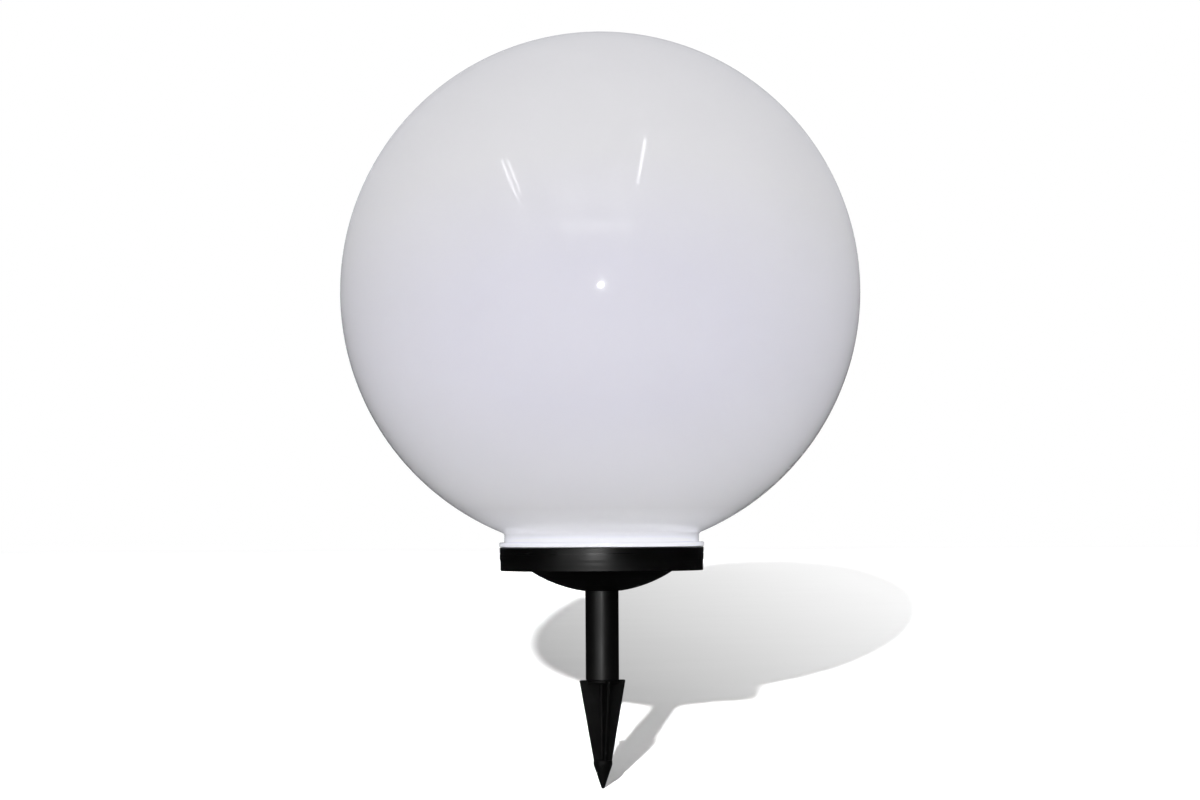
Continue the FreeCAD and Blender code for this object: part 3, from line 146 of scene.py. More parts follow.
def drawn(name: str, outline: Sequence[Union[Corner, Sweep]]) -> bpy.types.Object:
    """Draw an outline of edges in the XZ plane, corner by corner, and round its corners.

    Args:
        name: name of the new object.
        outline: corners and round stretches; the first is a corner.

    Returns:
        The object, left in edit mode. It is closed unless it starts and ends on the axis.
    """
    deselect()
    bpy.ops.mesh.primitive_plane_add(size=MM, location=(0.0, 0.0, 0.0))
    item = bpy.context.active_object
    item.name = name
    item.data.name = name
    bpy.ops.object.mode_set(mode="EDIT")
    bpy.ops.mesh.select_mode(type="VERT")
    bpy.ops.mesh.select_all(action="SELECT")
    bpy.ops.mesh.merge(type="CENTER")
    first = outline[0].place()
    bpy.ops.transform.translate(value=first)
    here = first
    for part in outline[1:]:
        if isinstance(part, Sweep):
            centre = part.centre.place()
            angle = math.radians(part.degrees)
            bpy.ops.mesh.spin(steps=part.steps, angle=angle, center=centre, axis=(0.0, 1.0, 0.0))
            here = centre + Matrix.Rotation(-angle, 3, "Y") @ (here - centre)
        else:
            bpy.ops.mesh.extrude_vertices_move(TRANSFORM_OT_translate={"value": part.place() - here})
            here = part.place()
    if first.x > NEAR or here.x > NEAR:
        pick(lambda spot: (spot - first).length < NEAR or (spot - here).length < NEAR)
        bpy.ops.mesh.edge_face_add()
    for part in outline:
        if isinstance(part, Corner) and part.rounding > 0.0:
            spot_wanted = part.place()
            pick(lambda spot: (spot - spot_wanted).length < NEAR)
            bpy.ops.mesh.bevel(offset=part.rounding, segments=CORNER_STEPS, affect="VERTICES")
    return item


def turned(name: str, outline: Sequence[Union[Corner, Sweep]], steps: int = 96) -> bpy.types.Object:
    """Turn an outline once round the upright axis, as on a lathe.

    Args:
        name: name of the new object.
        outline: corners and round stretches.
        steps: steps of the full turn.

    Returns:
        The closed and smoothed piece.
    """
    item = drawn(name, outline)
    bpy.ops.mesh.select_all(action="SELECT")
    bpy.ops.mesh.spin(steps=steps, angle=math.tau, center=(0.0, 0.0, 0.0), axis=(0.0, 0.0, 1.0))
    return closed(item)


def closed(item: bpy.types.Object) -> bpy.types.Object:
    """Merge doubled vertices, turn the faces outwards, leave edit mode and smooth the soft edges.

    Args:
        item: the piece.

    Returns:
        The same piece.
    """
    if bpy.context.mode != "EDIT_MESH":
        take(item)
        bpy.ops.object.mode_set(mode="EDIT")
    bpy.ops.mesh.select_all(action="SELECT")
    bpy.ops.mesh.remove_doubles(threshold=NEAR)
    bpy.ops.mesh.normals_make_consistent(inside=False)
    bpy.ops.object.mode_set(mode="OBJECT")
    take(item)
    bpy.ops.object.shade_smooth_by_angle(angle=math.radians(SMOOTH_ANGLE))
    return item


def screwed(name: str, outline: Sequence[Corner], degrees: float, lead: float, steps: int,
            turns: int = 1) -> bpy.types.Object:
    """Sweep a closed outline along a screw line round the upright axis and close its ends.

    Args:
        name: name of the new object.
        outline: corners of the section.
        degrees: angle of one round of the sweep.
        lead: climb of that round.
        steps: steps of that round.
        turns: how many such rounds.

    Returns:
        The closed piece.
    """
    item = drawn(name, outline)
    bpy.ops.object.mode_set(mode="OBJECT")
    modifier = item.modifiers.new("screw_line", "SCREW")
    modifier.axis = "Z"
    modifier.angle = math.radians(degrees)
    modifier.screw_offset = lead
    modifier.iterations = turns
    modifier.steps = steps
    modifier.render_steps = steps
    take(item)
    bpy.ops.object.modifier_apply(modifier=modifier.name)
    bpy.ops.object.mode_set(mode="EDIT")
    bpy.ops.mesh.select_all(action="SELECT")
    bpy.ops.mesh.remove_doubles(threshold=NEAR)
    bpy.ops.mesh.select_all(action="DESELECT")
    bpy.ops.mesh.select_mode(type="EDGE")
    bpy.ops.mesh.select_non_manifold()
    bpy.ops.mesh.fill_holes(sides=0)
    return closed(item)


def settled(item: bpy.types.Object, place: Sequence[float] = (0.0, 0.0, 0.0), turn: float = 0.0,
            tilt: float = 0.0) -> bpy.types.Object:
    """Turn a piece about the upright axis, tilt it about Y, move it, and leave that in its mesh.

    Args:
        item: the piece.
        place: how far it moves.
        turn: degrees about the upright axis.
        tilt: degrees about Y, before the turn.

    Returns:
        The same piece.
    """
    item.rotation_euler = (0.0, math.radians(tilt), math.radians(turn))
    item.location = place
    take(item)
    bpy.ops.object.transform_apply(location=True, rotation=True, scale=True)
    return item


def copied(item: bpy.types.Object, place: Sequence[float] = (0.0, 0.0, 0.0),
           turn: float = 0.0) -> bpy.types.Object:
    """Copy a piece with a mesh of its own, and settle the copy.

    Args:
        item: the piece.
        place: how far the copy moves.
        turn: degrees that it turns about the upright axis.

    Returns:
        The copy.
    """
    take(item)
    bpy.ops.object.duplicate(linked=False)
    return settled(bpy.context.active_object, place, turn)


def joined(items: Sequence[bpy.types.Object], name: str) -> bpy.types.Object:
    """Join several pieces into one object of that name.

    Args:
        items: the pieces.
        name: the new name.

    Returns:
        The joined object.
    """
    take(*items)
    if len(items) > 1:
        bpy.ops.object.join()
    item = bpy.context.active_object
    item.name = name
    item.data.name = name
    return item


def united(item: bpy.types.Object, *others: bpy.types.Object) -> bpy.types.Object:
    """Unite a piece with others into one closed skin and remove the others.

    Args:
        item: the piece.
        others: what is united with it.

    Returns:
        The piece.
    """
    for other in others:
        modifier = item.modifiers.new("union", "BOOLEAN")
        modifier.operation = "UNION"
        modifier.solver = "EXACT"
        modifier.object = other
        take(item)
        bpy.ops.object.modifier_apply(modifier=modifier.name)
        bpy.data.objects.remove(other)
    return closed(item)


# Node wiring

class Board:
    """The nodes of one material or node group, wired by hand."""

    def __init__(self, tree: bpy.types.NodeTree) -> None:
        """Start with an empty tree."""
        self.tree = tree
        tree.nodes.clear()

    def add(self, kind: str, feeds: Optional[Feeds] = None, **settings: object) -> bpy.types.Node:
        """Add a node.

        Args:
            kind: what follows ShaderNode in the node's type.
            feeds: what each input socket takes, a plain value or another node's output.
            settings: the node's own options.

        Returns:
            The node.
        """
        node = self.tree.nodes.new("ShaderNode" + kind)
        for option, choice in settings.items():
            setattr(node, option, choice)
        for socket, feed in (feeds or {}).items():
            if isinstance(feed, Socket):
                self.tree.links.new(feed, node.inputs[socket])
            else:
                node.inputs[socket].default_value = feed
        return node

    def place(self) -> Socket:
        """Give the place on the object, in metres of the frame."""
        return self.add("TexCoord").outputs["Object"]

    def sum(self, operation: str, first: Feed, second: Feed = 0.5) -> Socket:
        """Work out one step of arithmetic."""
        return self.add("Math", {0: first, 1: second}, operation=operation).outputs[0]

    def shift(self, operation: str, first: Feed, second: Feed) -> Socket:
        """Work out one step of arithmetic on places."""
        return self.add("VectorMath", {0: first, 1: second}, operation=operation).outputs[0]

    def length(self, place: Feed) -> Socket:
        """Give how far a place is from the origin."""
        return self.add("VectorMath", {0: place}, operation="LENGTH").outputs["Value"]

    def fitted(self, value: Feed, low: float, high: float, to_low: Feed = 0.0, to_high: Feed = 1.0) -> Socket:
        """Map a value from one range to another and hold it there."""
        feeds = {"Value": value, "From Min": low, "From Max": high, "To Min": to_low, "To Max": to_high}
        return self.add("MapRange", feeds).outputs[0]

    def blended(self, share: Feed, first: Feed, second: Feed) -> Socket:
        """Mix two colours by a share."""
        colours = [feed if isinstance(feed, Socket) else (*feed, 1.0) for feed in (first, second)]
        return self.add("Mix", {0: share, 6: colours[0], 7: colours[1]}, data_type="RGBA").outputs[2]

    def noise(self, place: Feed, scale: Feed, detail: float = 2.0) -> Socket:
        """Give a soft random value over the surface."""
        return self.add("TexNoise", {"Vector": place, "Scale": scale, "Detail": detail}).outputs[0]

    def parts(self, place: Feed) -> bpy.types.NodeOutputs:
        """Give the X, Y and Z of a place."""
        return self.add("SeparateXYZ", {0: place}).outputs

    def bumped(self, height: Feed, strength: float, distance: float) -> Socket:
        """Give the normal of a surface with this relief."""
        feeds = {"Height": height, "Strength": strength, "Distance": distance}
        return self.add("Bump", feeds).outputs["Normal"]


class Effects:
    """The effects that several finishes share, each a node group that is built once."""

    pit_share: float = 0.6
    soft_scale: float = 0.45
    patch_scale: float = 0.02
    patch_span: Span = (0.35, 0.65)
    patch_least: float = 0.5
    speckle_span: Span = (0.56, 0.72)
    drift_span: Span = (0.3, 0.7)
    speck_span: Span = (0.45, 0.75)

    def __init__(self) -> None:
        """Build the groups."""
        self.grain = self.build_grain()
        self.marks = self.build_marks()
        self.unevenness = self.build_unevenness()
        self.dust = self.build_dust()

    @staticmethod
    def group(name: str, inputs: Mapping[str, str],
              outputs: Sequence[str]) -> tuple[Board, bpy.types.NodeOutputs]:
        """Start a node group.

        Args:
            name: name of the group.
            inputs: socket type of each named input, Float or Vector.
            outputs: names of its outputs, each a plain number.

        Returns:
            The group's board, and what its input node puts out.
        """
        tree = bpy.data.node_groups.new(name, "ShaderNodeTree")
        board = Board(tree)
        for socket, kind in inputs.items():
            tree.interface.new_socket(socket, in_out="INPUT", socket_type="NodeSocket" + kind)
        for socket in outputs:
            tree.interface.new_socket(socket, in_out="OUTPUT", socket_type="NodeSocketFloat")
        return board, tree.nodes.new("NodeGroupInput").outputs

    @staticmethod
    def give(board: Board, feeds: Mapping[str, Socket]) -> bpy.types.NodeTree:
        """Wire a group's outputs and give the group.

        Args:
            board: the group's board.
            feeds: what each output gives.

        Returns:
            The group.
        """
        ends = board.tree.nodes.new("NodeGroupOutput")
        for socket, feed in feeds.items():
            board.tree.links.new(feed, ends.inputs[socket])
        return board.tree

    def build_grain(self) -> bpy.types.NodeTree:
        """Build the fine moulded grain: small soft pits, stronger in some places than in others.

        Returns:
            The group.
        """
        board, given = self.group("fine_grain", {"Place": "Vector", "Scale": "Float"}, ["Relief", "Speckle"])
        place, scale = given["Place"], given["Scale"]
        pits = board.add("TexVoronoi", {"Vector": place, "Scale": scale}, feature="SMOOTH_F1")
        soft = board.noise(place, board.sum("MULTIPLY", scale, self.soft_scale), 3.0)
        relief = board.sum("ADD", board.sum("MULTIPLY", pits.outputs["Distance"], self.pit_share), soft)
        broad = board.noise(place, board.sum("MULTIPLY", scale, self.patch_scale))
        patches = board.fitted(broad, *self.patch_span, self.patch_least)
        speckle = board.fitted(board.noise(place, scale, 1.0), *self.speckle_span)
        return self.give(board, {"Relief": board.sum("MULTIPLY", relief, patches), "Speckle": speckle})

    def build_marks(self) -> bpy.types.NodeTree:
        """Build long fine marks, as tools, handling and mould flow leave them, along the unstretched way.

        Returns:
            The group.
        """
        inputs = {"Place": "Vector", "Stretch": "Vector", "Scale": "Float", "Low": "Float", "High": "Float"}
        board, given = self.group("long_marks", inputs, ["Mask"])
        drawn_out = board.shift("MULTIPLY", given["Place"], given["Stretch"])
        lines = board.noise(drawn_out, given["Scale"], 3.0)
        return self.give(board, {"Mask": board.fitted(lines, given["Low"], given["High"])})

    def build_unevenness(self) -> bpy.types.NodeTree:
        """Build a broad soft drift between two values, for tone and gloss.

        Returns:
            The group.
        """
        inputs = {"Place": "Vector", "Scale": "Float", "Low": "Float", "High": "Float"}
        board, given = self.group("unevenness", inputs, ["Value"])
        drift = board.noise(given["Place"], given["Scale"], 4.0)
        value = board.fitted(drift, *self.drift_span, given["Low"], given["High"])
        return self.give(board, {"Value": value})

    def build_dust(self) -> bpy.types.NodeTree:
        """Build pale dust that gathers low down and fades out upwards.

        Returns:
            The group.
        """
        inputs = {"Place": "Vector", "Scale": "Float", "Foot": "Float", "Reach": "Float"}
        board, given = self.group("low_dust", inputs, ["Mask"])
        fade = board.fitted(board.parts(given["Place"])["Z"], given["Foot"], given["Reach"], 1.0, 0.0)
        specks = board.fitted(board.noise(given["Place"], given["Scale"], 6.0), *self.speck_span)
        return self.give(board, {"Mask": board.sum("MULTIPLY", fade, specks)})


# Finishes

class Run(Enum):
    """Which way the fine marks on a moulding run: the values stretch X, Y and Z."""

    ROUND = (6.0, 6.0, 900.0)
    UPRIGHT = (420.0, 420.0, 5.0)
    EVEN = (90.0, 90.0, 90.0)


class Coat(Board):
    """The nodes of one finish, with the place on the object and the shared effects at hand."""

    def __init__(self, tree: bpy.types.NodeTree, effects: Effects) -> None:
        """Start with the place alone.

        Args:
            tree: the material's nodes.
            effects: the shared effects.
        """
        super().__init__(tree)
        self.effects = effects
        self.spot = self.place()

    def effect(self, group: bpy.types.NodeTree, **feeds: Feed) -> bpy.types.NodeOutputs:
        """Place a shared effect with this finish's own values."""
        return self.add("Group", {"Place": self.spot, **feeds}, node_tree=group).outputs

    def drift(self, scale: float, low: float = 0.0, high: float = 1.0) -> Socket:
        """Give a broad soft drift between two values."""
        return self.effect(self.effects.unevenness, Scale=scale, Low=low, High=high)["Value"]

    def marks(self, run: Run, scale: float, low: float, high: float) -> Socket:
        """Give a mask of long fine marks."""
        return self.effect(self.effects.marks, Stretch=run.value, Scale=scale, Low=low, High=high)["Mask"]

    def grain(self, scale: float) -> bpy.types.NodeOutputs:
        """Give the Relief and the Speckle of the fine moulded grain."""
        return self.effect(self.effects.grain, Scale=scale)

    def dust(self, scale: float, reach: float) -> Socket:
        """Give a mask of dust from the foot up to a height."""
        return self.effect(self.effects.dust, Scale=scale, Foot=0.0, Reach=reach)["Mask"]


class Finish:
    """A finish of the light; each kind wires its own nodes."""

    def wire(self, coat: Coat) -> Feeds:
        """Add the nodes, and give the feed of each socket of the Principled shader."""
        raise NotImplementedError

    def make(self, name: str, effects: Effects) -> bpy.types.Material:
        """Make the material.

        Args:
            name: name of the material.
            effects: the shared effects.

        Returns:
            The material.
        """
        made = bpy.data.materials.new(name)
        made.use_nodes = True
        coat = Coat(made.node_tree, effects)
        feeds = {socket: (*feed, 1.0) if isinstance(feed, tuple) else feed
                 for socket, feed in self.wire(coat).items()}
        shader = coat.add("BsdfPrincipled", feeds)
        coat.add("OutputMaterial", {"Surface": shader.outputs[0]})
        return made


@dataclass(frozen=True)
class OpalPlastic(Finish):
    """Milky plastic of the globe, with painted light: a lavender tint painted on the side facing the viewer,
    the neck and lip painted paler with a painted glow, a faint painted glow all over that lifts the shading,
    and a painted glow on the upper rim.
    """

    ball: Triple = (0.611, 0.607, 0.629)
    shade: Triple = (0.601, 0.597, 0.619)
    clouds: float = 5.0
    # Painted light: a lavender tint painted only on the front of the ball, the side that faces the viewer.
    lavender: Triple = (0.575, 0.567, 0.633)
    front: Triple = (0.0, -0.25, 0.422)
    front_shape: Triple = (0.8, 0.5, 1.55)
    front_reach: float = 0.26
    front_core: float = 0.4
    # Painted light: the neck and lip are painted paler than the ball and given a painted glow, though they
    # are no lamp.
    neck: Triple = (0.850, 0.855, 0.908)
    neck_from: float = 0.268
    neck_to: float = 0.253
    lip_from: float = 0.246
    lip_to: float = 0.2385
    neck_share: float = 0.33
    # Painted light: a faint even glow painted all over the ball, though it is no lamp, that lifts its
    # shading.
    glow: float = 0.07
    glow_drift: float = 0.01
    painted_neck_glow: float = 0.17
    # Painted light: a painted glow at the grazing rim of the upper ball, growing towards the top.
    painted_rim_glow: float = 0.5
    edge_from: float = 0.36
    edge_to: float = 0.58
    edge_power: float = 5.0
    gloss: float = 0.30
    roughness: Span = (0.04, 0.07)
    patches: float = 14.0
    grain: float = 900.0
    relief: float = 0.02
    depth: float = 0.1 * MM

    def wire(self, coat: Coat) -> Feeds:
        """Blend the tones by place and paint light into them: a lavender tint in front, a paler neck, and
        painted glows all over, at the neck and on the upper rim.

        Args:
            coat: the nodes of the finish.

        Returns:
            The feed of each socket of the Principled shader.
        """
        clouds = coat.drift(self.clouds)
        plain = coat.blended(clouds, self.ball, self.shade)
        # Painted light: the lavender tint is painted round a point on the front of the ball, facing the
        # viewer.
        off_front = coat.shift("MULTIPLY", coat.shift("SUBTRACT", coat.spot, self.front), self.front_shape)
        near_front = coat.fitted(coat.length(off_front), self.front_reach, self.front_core * self.front_reach)
        ball = coat.blended(near_front, plain, self.lavender)
        height = coat.parts(coat.spot)["Z"]
        # Painted light: the neck and lip masks paint the low part paler and set where its painted glow goes.
        neck = coat.fitted(height, self.neck_from, self.neck_to, 0.0, self.neck_share)
        lip = coat.fitted(height, self.lip_from, self.lip_to, 0.0, 1.0 - self.neck_share)
        low = coat.sum("ADD", neck, lip)
        # Painted light: the even painted glow, drifting a little with the clouds.
        glow = coat.fitted(clouds, 0.0, 1.0, self.glow - self.glow_drift, self.glow + self.glow_drift)
        painted_neck_glow = coat.sum("MULTIPLY", low, self.painted_neck_glow)
        # Painted light: the rim glow, from the facing weight, only on the upper ball.
        edge = coat.sum("POWER", coat.add("LayerWeight").outputs["Facing"], self.edge_power)
        edge_strength = coat.fitted(height, self.edge_from, self.edge_to, 0.0, self.painted_rim_glow)
        painted_rim_glow = coat.sum("MULTIPLY", edge, edge_strength)
        return {
            "Base Color": coat.blended(low, ball, self.neck),
            "Emission Color": self.neck,
            "Emission Strength": coat.sum("ADD", coat.sum("ADD", glow, painted_neck_glow), painted_rim_glow),
            "Specular IOR Level": self.gloss,
            "Roughness": coat.drift(self.patches, *self.roughness),
            "Normal": coat.bumped(coat.grain(self.grain)["Relief"], self.relief, self.depth),
        }


@dataclass(frozen=True)
class BlackMoulding(Finish):
    """Black moulded plastic with fine marks, a little dust and a moulded grain."""

    run: Run
    colour: Triple = (0.0006, 0.0006, 0.0007)
    worn: Triple = (0.0020, 0.0020, 0.0023)
    dust: Triple = (0.0030, 0.0029, 0.0020)
    dust_specks: float = 60.0
    dust_reach: float = 0.26
    mark_span: Span = (0.50, 0.72)
    streaks: float = 0.10
    streak_relief: float = 2.0
    roughness: float = 0.50
    smoother: float = 0.05
    rougher: float = 0.06
    patches: float = 22.0
    gloss: float = 0.35
    grain: float = 1500.0
    relief: float = 0.12
    depth: float = 0.05 * MM
    seam: float = 1.0
    seam_width: float = 0.5 * MM
    smoother_above: float = 0.0

    def wire(self, coat: Coat) -> Feeds:
        """Lay marks and dust over the plastic; above the seam it may be smoother.

        Args:
            coat: the nodes of the finish.

        Returns:
            The feed of each socket of the Principled shader.
        """
        marks = coat.marks(self.run, 1.0, *self.mark_span)
        clean = coat.blended(marks, self.colour, self.worn)
        streaks = coat.sum("MULTIPLY", marks, self.streaks)
        height = coat.parts(coat.spot)["Z"]
        smoother = coat.fitted(height, self.seam, self.seam + self.seam_width, 0.0, self.smoother_above)
        drift = coat.drift(self.patches, self.roughness - self.smoother, self.roughness + self.rougher)
        raised = coat.sum("MULTIPLY", streaks, self.streak_relief)
        relief = coat.sum("ADD", coat.grain(self.grain)["Relief"], raised)
        return {
            "Base Color": coat.blended(coat.dust(self.dust_specks, self.dust_reach), clean, self.dust),
            "Roughness": coat.sum("SUBTRACT", drift, coat.sum("ADD", streaks, smoother)),
            "Specular IOR Level": self.gloss,
            "Normal": coat.bumped(relief, self.relief, self.depth),
        }


@dataclass(frozen=True)
class SoftRubber(Finish):
    """Matt black rubber of the seals."""

    colour: Triple = (0.012, 0.012, 0.013)
    bloom: Triple = (0.040, 0.040, 0.042)
    patches: float = 70.0
    bloom_share: float = 0.7
    grain: float = 2600.0
    gloss: float = 0.25
    roughness: Span = (0.78, 0.66)
    relief: float = 0.25
    depth: float = 0.05 * MM

    def wire(self, coat: Coat) -> Feeds:
        """Let a dull bloom drift over the rubber.

        Args:
            coat: the nodes of the finish.

        Returns:
            The feed of each socket of the Principled shader.
        """
        bloom = coat.drift(self.patches, 0.0, self.bloom_share)
        grain = coat.grain(self.grain)
        return {
            "Base Color": coat.blended(bloom, self.colour, self.bloom),
            "Roughness": coat.fitted(grain["Speckle"], 0.0, 1.0, *self.roughness),
            "Specular IOR Level": self.gloss,
            "Normal": coat.bumped(grain["Relief"], self.relief, self.depth),
        }


@dataclass(frozen=True)
class Metal(Finish):
    """A bare or plated metal with fine marks and a drift of tarnish."""

    colour: Triple
    tarnish: Triple
    roughness: float
    run: Run
    patches: float = 160.0
    tarnish_share: float = 0.8
    marks: float = 4.0
    mark_span: Span = (0.35, 0.75)
    metallic: Span = (0.75, 0.65)
    rougher: float = 0.14
    relief: float = 0.10
    depth: float = 0.02 * MM

    def wire(self, coat: Coat) -> Feeds:
        """Let tarnish drift over the metal, and draw fine marks into it.

        Args:
            coat: the nodes of the finish.

        Returns:
            The feed of each socket of the Principled shader.
        """
        tarnish = coat.drift(self.patches, 0.0, self.tarnish_share)
        marks = coat.marks(self.run, self.marks, *self.mark_span)
        return {
            "Base Color": coat.blended(tarnish, self.colour, self.tarnish),
            "Metallic": coat.fitted(marks, 0.0, 1.0, *self.metallic),
            "Roughness": coat.fitted(marks, 0.0, 1.0, self.roughness, self.roughness + self.rougher),
            "Normal": coat.bumped(marks, self.relief, self.depth),
        }


@dataclass(frozen=True)
class CircuitBoard(Finish):
    """Green lacquer over copper tracks, with tinned pads."""

    lacquer: Triple = (0.012, 0.090, 0.035)
    track: Triple = (0.030, 0.170, 0.060)
    pad: Triple = (0.62, 0.60, 0.55)
    pitch: float = 2.54 * MM
    pads_per_pitch: float = 0.35
    scatter: float = 0.8
    track_edge: Span = (0.16, 0.10)
    pad_edge: Span = (0.16, 0.13)
    pad_metallic: float = 0.9
    grain: float = 2200.0
    grain_share: float = 0.2
    roughness: Span = (0.30, 0.42)
    relief: float = 0.35
    depth: float = 0.04 * MM

    def wire(self, coat: Coat) -> Feeds:
        """Draw tracks between scattered cells, with a pad in the middle of each.

        Args:
            coat: the nodes of the finish.

        Returns:
            The feed of each socket of the Principled shader.
        """
        scale = self.pads_per_pitch / self.pitch
        nearest, next_nearest = (
            coat.add("TexVoronoi", {"Vector": coat.spot, "Scale": scale, "Randomness": self.scatter},
                     distance="MANHATTAN", voronoi_dimensions="2D", feature=feature).outputs["Distance"]
            for feature in ("F1", "F2"))
        track = coat.fitted(coat.sum("SUBTRACT", next_nearest, nearest), *self.track_edge)
        pad = coat.fitted(nearest, *self.pad_edge)
        grain = coat.grain(self.grain)
        lacquer = coat.blended(track, self.lacquer, self.track)
        relief = coat.sum("ADD", track, coat.sum("MULTIPLY", grain["Relief"], self.grain_share))
        return {
            "Base Color": coat.blended(pad, lacquer, self.pad),
            "Metallic": coat.sum("MULTIPLY", pad, self.pad_metallic),
            "Roughness": coat.fitted(grain["Speckle"], 0.0, 1.0, *self.roughness),
            "Normal": coat.bumped(relief, self.relief, self.depth),
        }


@dataclass(frozen=True)
class SolarCell(Finish):
    """Dark blue silicon with fine silver fingers and two broad bars across them."""

    silicon: Triple = (0.006, 0.011, 0.045)
    crystal: Triple = (0.012, 0.024, 0.085)
    crystals: float = 380.0
    silver: Triple = (0.42, 0.43, 0.45)
    finger_pitch: float = 1.6 * MM
    finger_share: float = 0.10
    bar_pitch: float = 12.0 * MM
    bar_share: float = 0.09
    line_edge: float = 0.02
    silver_metallic: float = 0.8
    grain: float = 1800.0
    roughness: Span = (0.22, 0.34)
    relief: float = 0.2
    depth: float = 0.02 * MM

    def wire(self, coat: Coat) -> Feeds:
        """Draw the silver lines over crystals of two blues.

        Args:
            coat: the nodes of the finish.

        Returns:
            The feed of each socket of the Principled shader.
        """
        ends = coat.parts(coat.spot)
        fingers = self.lines(coat, ends["Y"], self.finger_pitch, self.finger_share)
        bars = self.lines(coat, ends["X"], self.bar_pitch, self.bar_share)
        silver = coat.sum("MAXIMUM", fingers, bars)
        crystals = coat.add("TexVoronoi", {"Vector": coat.spot, "Scale": self.crystals}).outputs["Color"]
        share = coat.add("SeparateColor", {0: crystals}).outputs[0]
        silicon = coat.blended(share, self.silicon, self.crystal)
        return {
            "Base Color": coat.blended(silver, silicon, self.silver),
            "Metallic": coat.sum("MULTIPLY", silver, self.silver_metallic),
            "Roughness": coat.fitted(coat.grain(self.grain)["Speckle"], 0.0, 1.0, *self.roughness),
            "Normal": coat.bumped(silver, self.relief, self.depth),
        }

    def lines(self, coat: Coat, along: Socket, pitch: float, share: float) -> Socket:
        """Give a mask of even lines across one direction.

        Args:
            coat: the nodes of the finish.
            along: the place along that direction.
            pitch: from line to line.
            share: how much of the pitch a line takes.

        Returns:
            The mask.
        """
        steps = coat.sum("FRACT", coat.sum("ADD", coat.sum("DIVIDE", along, pitch), 0.5))
        off_line = coat.sum("ABSOLUTE", coat.sum("SUBTRACT", steps, 0.5))
        return coat.fitted(off_line, share / 2, share / 2 - self.line_edge)


@dataclass(frozen=True)
class ClearPlastic(Finish):
    """Clear moulded plastic, faintly hazy in drifting patches."""

    colour: Triple
    haze: Triple
    alpha: float
    roughness: float = 0.06
    rougher: float = 0.05
    denser: float = 0.06
    patches: float = 40.0
    grain: float = 700.0
    relief: float = 0.02
    depth: float = 0.05 * MM

    def wire(self, coat: Coat) -> Feeds:
        """Let the haze drift over the plastic.

        Args:
            coat: the nodes of the finish.

        Returns:
            The feed of each socket of the Principled shader.
        """
        haze = coat.drift(self.patches)
        return {
            "Base Color": coat.blended(haze, self.colour, self.haze),
            "Roughness": coat.fitted(haze, 0.0, 1.0, self.roughness, self.roughness + self.rougher),
            "Alpha": coat.fitted(haze, 0.0, 1.0, self.alpha, self.alpha + self.denser),
            "Normal": coat.bumped(coat.grain(self.grain)["Relief"], self.relief, self.depth),
        }


@dataclass(frozen=True)
class PlainPlastic(Finish):
    """Small coloured plastic or lacquered parts inside: chip, cell wrap and wire cover."""

    colour: Triple
    tone: Triple
    roughness: float
    run: Run = Run.EVEN
    marks: float = 2.0
    mark_span: Span = (0.40, 0.70)
    rougher: float = 0.1
    grain: float = 1800.0
    relief: float = 0.12
    depth: float = 0.03 * MM

    def wire(self, coat: Coat) -> Feeds:
        """Draw marks of another tone into the plastic.

        Args:
            coat: the nodes of the finish.

        Returns:
            The feed of each socket of the Principled shader.
        """
        marks = coat.marks(self.run, self.marks, *self.mark_span)
        return {
            "Base Color": coat.blended(marks, self.colour, self.tone),
            "Roughness": coat.fitted(marks, 0.0, 1.0, self.roughness, self.roughness + self.rougher),
            "Normal": coat.bumped(coat.grain(self.grain)["Relief"], self.relief, self.depth),
        }


